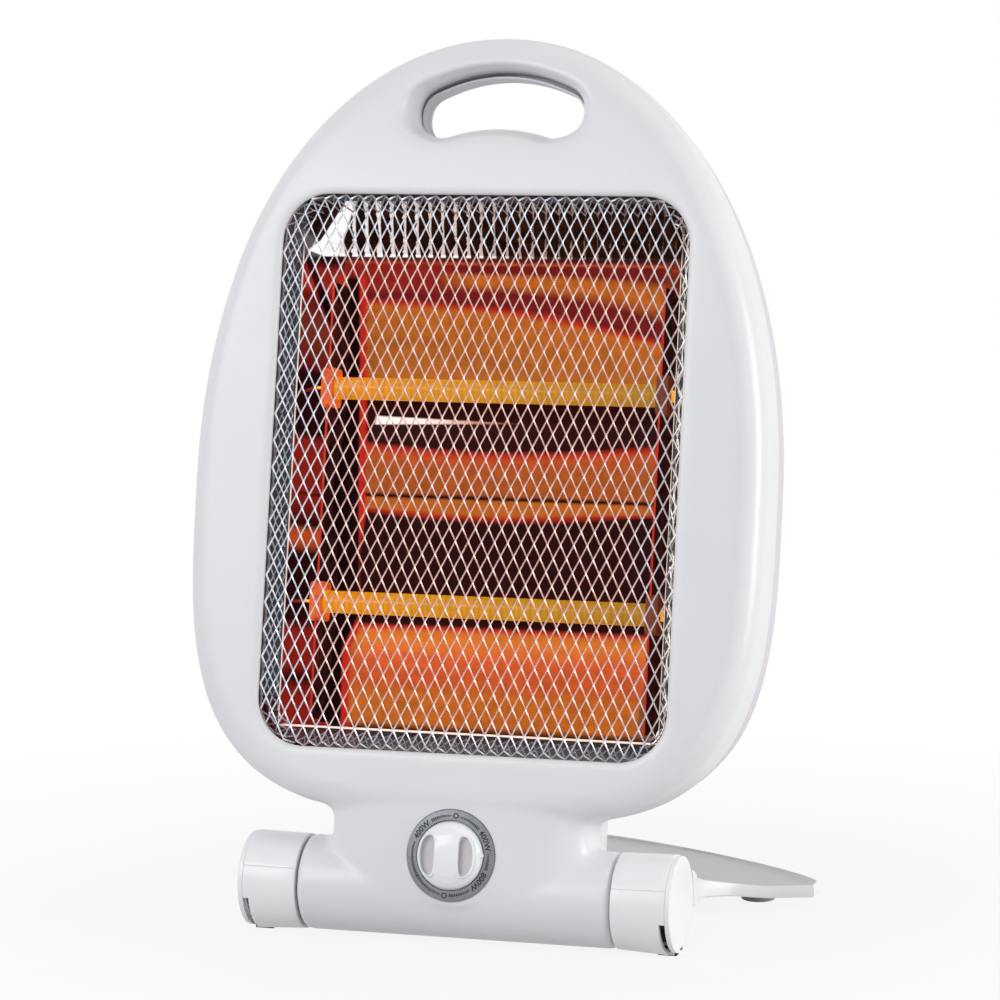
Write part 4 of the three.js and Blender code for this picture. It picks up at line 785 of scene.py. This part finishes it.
shade, maroon, cherry, red, orange, amber = "#280a0b", "#6e1817", "#b02c1a", "#8a2018", "#b84c22", "#b8601f"
low_painted_glow_bands = graded(tree, height, [
    (60, shade), (69, shade), (72, amber), (84, amber), (91, orange), (101, orange), (108, amber),
    (113, amber), (114.8, cherry), (116.4, shade), (162, shade), (164.4, cherry), (166, amber),
    (171.6, amber), (172.6, shade)])
high_painted_glow_bands = graded(tree, height, [
    (173, shade), (174.5, "#a45020"), (184, "#a65222"), (190, orange), (192.4, cherry), (195, shade),
    (217, shade), (226, "#96521b"), (246, "#ae5e1f"), (255, amber), (257.4, cherry), (259.6, maroon),
    (265, maroon), (268.8, amber), (272, amber), (273.8, maroon), (276.6, maroon), (277.3, orange),
    (278.3, maroon), (279.6, shade)])
# The two troughs' painted reflection bands meet here, and a painted red reflection lies at the upper left.
colour = laid_over(tree, low_painted_glow_bands, high_painted_glow_bands, (z, 172.8, 173.1))
colour = laid_over(tree, colour, red, (x, -14, -30), (z, 264, 267), (z, 279, 276))

# A painted highlight: a white gleam under the upper tube, which thins out and turns brown to the right.
gleam_height, gleam_left, gleam_right = 207.5, -57, 12
thickness = add(tree, "MapRange", between(x, gleam_left, gleam_right, 2.0, 0.0))
off_line = add(tree, "Math", {0: z, 1: gleam_height}, operation="SUBTRACT")
off_line = add(tree, "Math", {0: off_line}, operation="ABSOLUTE")
inside = add(tree, "Math", {0: thickness, 1: off_line}, operation="SUBTRACT")
painted_gleam = graded(tree, x, [(gleam_left, "#ffffff"), (-29.4, "#fbe6dc"), (-8.7, "#c8907c"),
                         (gleam_right, "#501a16")])
colour = laid_over(tree, colour, painted_gleam, (inside, -0.3, 0.5), (x, -58, -56.6))

# Towards the left end a painted red reflection edge and then the bracket's painted dark shade show, and the
# right end is painted a dull grey-brown.
across = add(tree, "VectorMath", {0: spot, 1: (1, 0.308, 0.053)}, operation="DOT_PRODUCT").outputs["Value"]
painted_dark_until = add(tree, "MapRange", between(z, 104, 120, -57.8, -49.8))
past_painted_dark = add(tree, "Math", {0: across, 1: painted_dark_until}, operation="SUBTRACT")
wide_above, wide_below = where(tree, (z, 147, 165), most=3.4), where(tree, (z, 119, 112), most=3.6)
painted_red_width = add(tree, "Math", {0: wide_above, 1: wide_below}, operation="MAXIMUM")
past_painted_red = add(tree, "Math", {0: past_painted_dark, 1: painted_red_width}, operation="SUBTRACT")
colour = laid_over(tree, colour, "#c2281a", (past_painted_red, 0.8, -0.8), (z, 273, 270))
colour = laid_over(tree, colour, "#180607", (past_painted_dark, 0.5, -0.5), (z, 273, 270))
colour = laid_over(tree, colour, "#4c443a", (x, 73.4, 74.4), (z, 140, 132), most=0.7)
colour = laid_over(tree, colour, "#7a2a16", (x, 75.5, 77), (z, 132, 140), most=0.6)

# The tray beside the left bracket carries painted dark and red glow patches, with a painted slanting shadow
# across them.
beside = (x, -72.6, -73.0)
side_painted_glow_bands = graded(tree, z, [
    (60, shade), (71, red), (84, red), (90, shade), (96, red), (111, red), (116, shade), (146, shade),
    (151, orange), (156, orange), (159, shade), (166, maroon), (172.4, red), (173, shade), (174, red),
    (197, red), (200, shade), (228, shade), (231, maroon), (246, "#7c3020"), (262, maroon), (268, cherry),
    (275, red), (279, shade)])
colour = laid_over(tree, colour, side_painted_glow_bands, beside)
painted_shadow_slant = add(tree, "VectorMath", {0: spot, 1: (2.53, 0.779, 1.134)}, operation="DOT_PRODUCT").outputs["Value"]
colour = laid_over(tree, colour, "#1a0607", (painted_shadow_slant, 86.3, 88.3), (painted_shadow_slant, 97.3, 95.3), beside, (z, 236, 246))
# Right of the troughs the tray is painted dark as shade.
colour = laid_over(tree, colour, "#2a0d0b", (x, 80.2, 80.6))

# The sloping top plate is painted dark, with a painted reflection of the grille as bright upright streaks,
# wider at its ends and to the left, and a painted reflection of a lamp as a white patch with slanting sides.
wobble = add(tree, "Math", {0: mottle, 1: 2.5, 2: across}, operation="MULTIPLY_ADD")
wave = add(tree, "Math", {0: wobble, 1: 3.0}, operation="PINGPONG")
waist = add(tree, "Math", {0: z, 1: 1 / 11, 2: -293 / 11}, operation="MULTIPLY_ADD")
waist = add(tree, "Math", {0: waist, 1: waist}, operation="MULTIPLY")
inside = add(tree, "MapRange", between(x, -60, 40, 0.13, 0.01))
for part, share in ((wave, 1 / 6), (waist, 0.12), (mottle, 0.22)):
    inside = add(tree, "Math", {0: part, 1: share, 2: inside}, operation="MULTIPLY_ADD")
top_plate_painted_reflection = graded(tree, mottle, [(0.35, "#180c0a"), (0.65, "#32190f")])
painted_grille_streak = graded(tree, x, [(-60, "#ffffff"), (-21, "#f0dccf"), (18, "#a98a7c"), (70, "#6a5850")])
left_side, right_side = (
    add(tree, "VectorMath", {0: spot, 1: (1, 0.308, slope)}, operation="DOT_PRODUCT").outputs["Value"]
    for slope in (-0.79, -0.38))
top_plate_painted_reflection = laid_over(tree, top_plate_painted_reflection, painted_grille_streak, (inside, 0.60, 0.66), (right_side, -183.1, -182.1))
top_plate_painted_reflection = laid_over(tree, top_plate_painted_reflection, (1.3, 1.3, 1.3, 1), (left_side, -311.8, -311.0), (right_side, -182.0, -183.2))
colour = laid_over(tree, colour, top_plate_painted_reflection, (z, 281.6, 282.4))

# The tray's front rim is painted grey above and a bright cream highlight below, and its outer walls are painted
# dark grey as shade.
painted_rim = (y, -9.2, -9.4)
colour = laid_over(tree, colour, laid_over(tree, "#4a4648", "#f4dccc", (z, 284, 278)), painted_rim)
width = add(tree, "Math", {0: x}, operation="ABSOLUTE")
colour = laid_over(tree, colour, "#3c3e42", (width, 88.2, 88.6))
colour = laid_over(tree, colour, "#3c3e42", (width, 87.5, 87.6), painted_rim)
glowing(tree, shader, colour, mottle, 0.77)

for half, low, high in (("upper", 173.8, 279), ("lower", 71, 173.2)):
    trough = bmesh.new()
    bmesh.ops.create_grid(trough, x_segments=6, y_segments=56, size=1)
    for v in trough.verts:
        v.co = (trough_middle + v.co.x * trough_half, 1 + trough_depth * (1 - v.co.y ** 2),
                (low + high) / 2 + v.co.y * (high - low) / 2)
    bmesh.ops.recalc_face_normals(trough, faces=trough.faces[:])
    if trough.faces[:][0].normal.y > 0:
        bmesh.ops.reverse_faces(trough, faces=trough.faces[:])
    trough = worked(trough, ("SOLIDIFY", {"thickness": 0.8, "offset": -1}))
    finished(trough, f"{half}_trough", [painted_glow_sheet], "heater_body", leaned,
             [f"reflector_{half}"])
refinished(painted_glow_sheet, "reflector_tray", "reflector_end_left", "reflector_end_right")


# The tube brackets: steel strip on each side of the troughs, painted nearly black from the front as shade,
# with a painted red glow of the lit tubes on their front edges and near their tops.
painted_dark_steel, tree, shader = finish_named("steel_painted_dark_and_glow")
x, y, z, mottle = body_place(tree)
painted_strip_colour = graded(tree, mottle, [(0.35, "#1c0a0a"), (0.65, "#341512")])
painted_strip_colour = laid_over(tree, painted_strip_colour, "#98281b", (z, 268, 270), (z, 277, 275))
glowing(tree, shader, laid_over(tree, painted_strip_colour, "#a82a18", (y, -8.9, -9.3)), mottle, 0.8)
refinished(painted_dark_steel, "tube_bracket_left", "tube_bracket_right")


# The tubes: clear quartz, drawn to 10 mm, each with a coil of resistance wire that glows yellow-orange
# through it and fills it with light. The coil's turns show as a faint ripple.
tube_levels = (("upper", 220), ("lower", 124.3))
tube_depth, tube_start, tube_end = -3, -74, 82
quartz, tree, shader = finish_named("quartz_glass_in_use")
x, y, z, mottle = body_place(tree)
heat = graded(tree, x, [(tube_start, "#ea8c12"), (-27.2, "#dc9016"), (19.6, "#c88a1a"), (tube_end, "#ac7618")])
ripple = add(tree, "TexWave", {"Vector": add(tree, "CombineXYZ", {"X": x}), "Scale": 0.12,
                               "Distortion": 1.5, "Detail": 1.0}, bands_direction="X").outputs["Fac"]
ripple = add(tree, "MapRange", between(ripple, 0.0, 1.0, 0.9, 1.06))
change = add(tree, "MapRange", between(mottle, 0.3, 0.7, 0.88, 1.1))
change = add(tree, "Math", {0: change, 1: ripple}, operation="MULTIPLY")
heat = add(tree, "VectorMath", {0: heat, "Scale": change}, operation="SCALE")
feed(tree, shader, {
    "Base Color": add(tree, "VectorMath", {0: heat, "Scale": 0.25}, operation="SCALE"),
    "Emission Color": heat, "Emission Strength": 0.85, "Roughness": 0.2, "IOR": 1.46,
    "Specular IOR Level": 0.25})
for half, level in tube_levels:
    tube = turned([(tube_start - 0.2, 4), (tube_start - 0.2, 4.8), (tube_start, 5), (tube_end, 5),
                   (tube_end + 0.2, 4.8), (tube_end + 0.2, 4), (tube_start - 0.2, 4)], 0,
                  (0, tube_depth, level), 48)
    finished(tube, f"{half}_quartz_tube", [quartz], "heater_body", leaned, [f"quartz_tube_{half}"])

coil_wire, tree, shader = finish_named("resistance_wire_in_use")
x, y, z, mottle = body_place(tree)
glowing(tree, shader, graded(tree, mottle, [(0.3, "#ff9a20"), (0.7, "#ffb83a")]), mottle, 1.0)
refinished(coil_wire, "heating_coil_upper", "heating_coil_lower")


# The tube holders: pressed steatite ceramic, a chamfered block with a collar round each tube's end. The cream
# ceramic is matt and painted reddish brown, with a painted red-orange glow of the tubes' light.
steatite_painted_glow, tree, shader = grained("steatite_with_painted_glow", 1.1111, "#70402c", "#5e3424", 0.75, 0.3)
x, y, z, mottle = body_place(tree)
glow = graded(tree, mottle, [(0.35, "#da4414"), (0.65, "#ff7426")])
# On the right-hand holders the painted glow is darker, as painted shade.
feed(tree, shader, {"Emission Color": laid_over(tree, glow, "#5c2412", (x, 60, 70)), "Emission Strength": 0.72})
for half, level in tube_levels:
    for side, start, bore in (("left", -76, (1.6, 7)), ("right", 78.5, (-1, 3.9))):
        holder = block(start, start + 5.5, -9.8, 3.8, level - 8.8, level + 8.8)
        rounded(holder, axis_edges(holder, 0), 2.6, 4)
        rounded(holder, axis_edges(holder, 0, along=False), 0.5, 2)
        holder = cut(holder, rod(5.15, *[(start + reach, tube_depth, level) for reach in bore], 40),
                     rod(1.2, (start - 1, tube_depth, level), (start + 7, tube_depth, level), 16))
        finished(holder, f"tube_holder_{half}_{side}", [steatite_painted_glow], "heater_body", leaned,
                 [f"ceramic_cap_{half}_{side}"])


# The grille: expanded steel, slit and stretched into tall diamonds and bright plated. Its edge is hemmed
# back behind the window's frame, where the strands double up, curl and crumple.
wear_size = 3.333
plated, tree, shader = finish_named("bright_plated_steel")
x, y, z, mottle = body_place(tree)
place = add(tree, "TexCoord").outputs["Object"]
wear = add(tree, "TexNoise", {"Vector": place, "Scale": 1000 / wear_size, "Detail": 3.0}).outputs["Fac"]
tint = graded(tree, wear, [(0.3, "#dfe5f0"), (0.7, "#f6f8ff")])
painted_warm_glow = graded(tree, wear, [(0.3, "#eebcb0"), (0.7, "#ffe6de")])
# Painted light: a warm tube glow over the window's middle, painted shade on the hem further back, and a painted
# highlight on the right edge.
tint = laid_over(tree, tint, painted_warm_glow, (x, -76, -60), (z, 286, 272), (z, 64, 76), (x, 86, 70))
tint = laid_over(tree, tint, "#c6ccd6", (y, -19.2, -17.0))
tint = laid_over(tree, tint, "#fff6ee", (x, 84, 90))
gloss = add(tree, "MapRange", between(wear, 0.0, 1.0, 0.2, 0.36))
feed(tree, shader, {"Base Color": tint, "Roughness": gloss, "Metallic": 0.35})

cell_width, cell_height, bond = 6.0, 12.0, 0.7
fold_start, fold_radius, fold_turn, hem, grille_front = -1.0, 1.6, math.radians(122), 9.6, -20.2
window_middle, window_rise = (window_high + window_low) / 2, (window_high - window_low) / 2


def beyond_window(x, z):
    """How far a point lies outside the window's outline, and in which direction."""
    to_right, upwards = math.copysign(1, x), math.copysign(1, z - window_middle)
    across = abs(x) - (window_half - window_corner)
    up = abs(z - window_middle) - (window_rise - window_corner)
    if across > 0 and up > 0:
        reach = math.hypot(across, up)
        return reach - window_corner, Vector((across / reach * to_right, up / reach * upwards))
    if across > up:
        return across - window_corner, Vector((to_right, 0))
    return up - window_corner, Vector((0, upwards))


lattice = bmesh.new()
for row in range(-24, 25):
    for column in range(-19, 20):
        x = column * cell_width + (row % 2) * cell_width / 2
        z = window_middle + row * cell_height / 2
        if beyond_window(x, z)[0] > hem:
            continue
        cell = bmesh.ops.create_circle(lattice, cap_ends=True, radius=1, segments=6)["verts"]
        half, tall, notch = cell_width / 2, cell_height / 2 - bond / 2, bond / 2
        corners = [(0, tall), (half, notch), (half, -notch), (0, -tall), (-half, -notch), (-half, notch)]
        cell.sort(key=lambda v: -math.atan2(v.co.x, -v.co.y))
        for v, (across, up) in zip(cell, corners):
            v.co = (x + across, 0, z + up)
bmesh.ops.remove_doubles(lattice, verts=lattice.verts, dist=0.1)
bmesh.ops.recalc_face_normals(lattice, faces=lattice.faces[:])

# The noise is seeded, so that the hem crumples in the same way in every run.
noise.seed_set(1)
for v in lattice.verts:
    out, away = beyond_window(v.co.x, v.co.z)
    along = out - fold_start
    v.co.y = grille_front
    if along > 0:
        turn = min(along / fold_radius, fold_turn)
        rest = max(0, along - fold_turn * fold_radius)
        shift = fold_radius * math.sin(turn) + rest * math.cos(fold_turn) - along
        crumple = noise.noise_vector(v.co * 0.35) * min(1.0, rest / 3) * (1.9 if v.co.x > 90 else 0.9)
        v.co += Vector((away.x, 0, away.y)) * shift
        v.co.y += fold_radius * (1 - math.cos(turn)) + rest * math.sin(fold_turn)
        v.co += Vector((min(0.3, crumple.x) * away.x, crumple.y, min(0.3, crumple.z)))
lattice = worked(lattice, ("WIREFRAME", {"thickness": 0.96, "use_even_offset": False, "use_boundary": True}))
finished(lattice, "grille_mesh", [plated], "heater_body", leaned, ["grille"], 60)


# The screws: zinc-plated pan heads with a cross recess, six in the rear shell's wells and one under each
# hub cover. Zinc is a pale blue-grey metal with a soft spangle.
zinc, tree, shader = grained("zinc_plated_steel", 1.1111, "#c3c7cb", "#a9adb1", (0.28, 0.44), cells=True,
                             ends=(0.1, 0.9))
shader.inputs["Metallic"].default_value = 1.0


def screw(name, stands_for, body, spot, place, length, radius):
    """A pan-head screw that points along its own z axis, set into place by a matrix."""
    head = turned([(1.9, 0), (1.8, radius * 0.55), (1.35, radius * 0.85), (0.7, radius), (0, radius), (0, 0)],
                  2, steps=32)
    head = cut(head, block(-0.4, 0.4, -1.7, 1.7, 0.8, 3), block(-1.7, 1.7, -0.4, 0.4, 0.8, 3))
    shank = together(head, rod(1.3, (0, 0, -length), (0, 0, 0.3), 16))
    bmesh.ops.transform(shank, matrix=place, verts=shank.verts)
    finished(shank, name, [zinc], body, spot, [stands_for])


to_the_back = Matrix.Rotation(math.radians(-90), 4, "X")
for (x, z), word in zip(screw_spots, ("side_left", "side_right", "shoulder_left", "shoulder_right",
                                      "neck_left", "neck_right")):
    screw(f"shell_screw_{word}", f"casing_screw_{word}", "heater_body", leaned,
          Matrix.Translation((x, 11.8, z)) @ to_the_back, 17, 3.0)
downwards = Matrix.Rotation(math.pi, 4, "X")
for side, word in sides:
    screw(f"cover_screw_{word}", f"hub_cover_screw_{word}", "foot", upright,
          Matrix.Translation((side * cover_screw_place, 0, -19.1)) @ downwards, 9.4, 2.8)


# The hinge's turned steel parts and the switch's fixings, which stay inside the barrel and the hubs. They
# share the screws' zinc, and the friction washers are hard fibre.
refinished(zinc, "hinge_spindle_left", "hinge_spindle_right", "spindle_nut_left", "spindle_nut_right",
           "selector_nut", "switch_shaft")
fibre = grained("pressed_fibre", 0.8333, "#7a5444", "#5c3c30", 0.85, 0.4, detail=5.0)[0]
refinished(fibre, "friction_washer_left", "friction_washer_right")


# The electrical parts: black heat-proof nylon mouldings, clipped in the barrel and on the reflector's
# back. Nylon is satin, with a faint cloud in its black.
nylon = grained("black_filled_nylon", 2.5, "#27272a", "#1a1a1c", (0.4, 0.58), 0.2, detail=4.0)[0]
refinished(nylon, "selector_switch", "tip_over_switch", "terminal_block", "thermal_cutout", "cord_gland")


# The wires: stranded copper in silicone rubber, red on the live side and blue on the neutral side, with
# a soft matt skin.
for name, light, dark, wires in (
        ("red_silicone", "#b23428", "#9a2a20",
         ("wire_live", "wire_feed", "wire_upper_feed", "wire_lower_feed")),
        ("blue_silicone", "#2f54a4", "#254690", ("wire_upper_return", "wire_lower_return", "wire_neutral"))):
    refinished(grained(name, 1.4286, light, dark, 0.6, 0.2, depth=0.1, detail=4.0)[0], *wires)
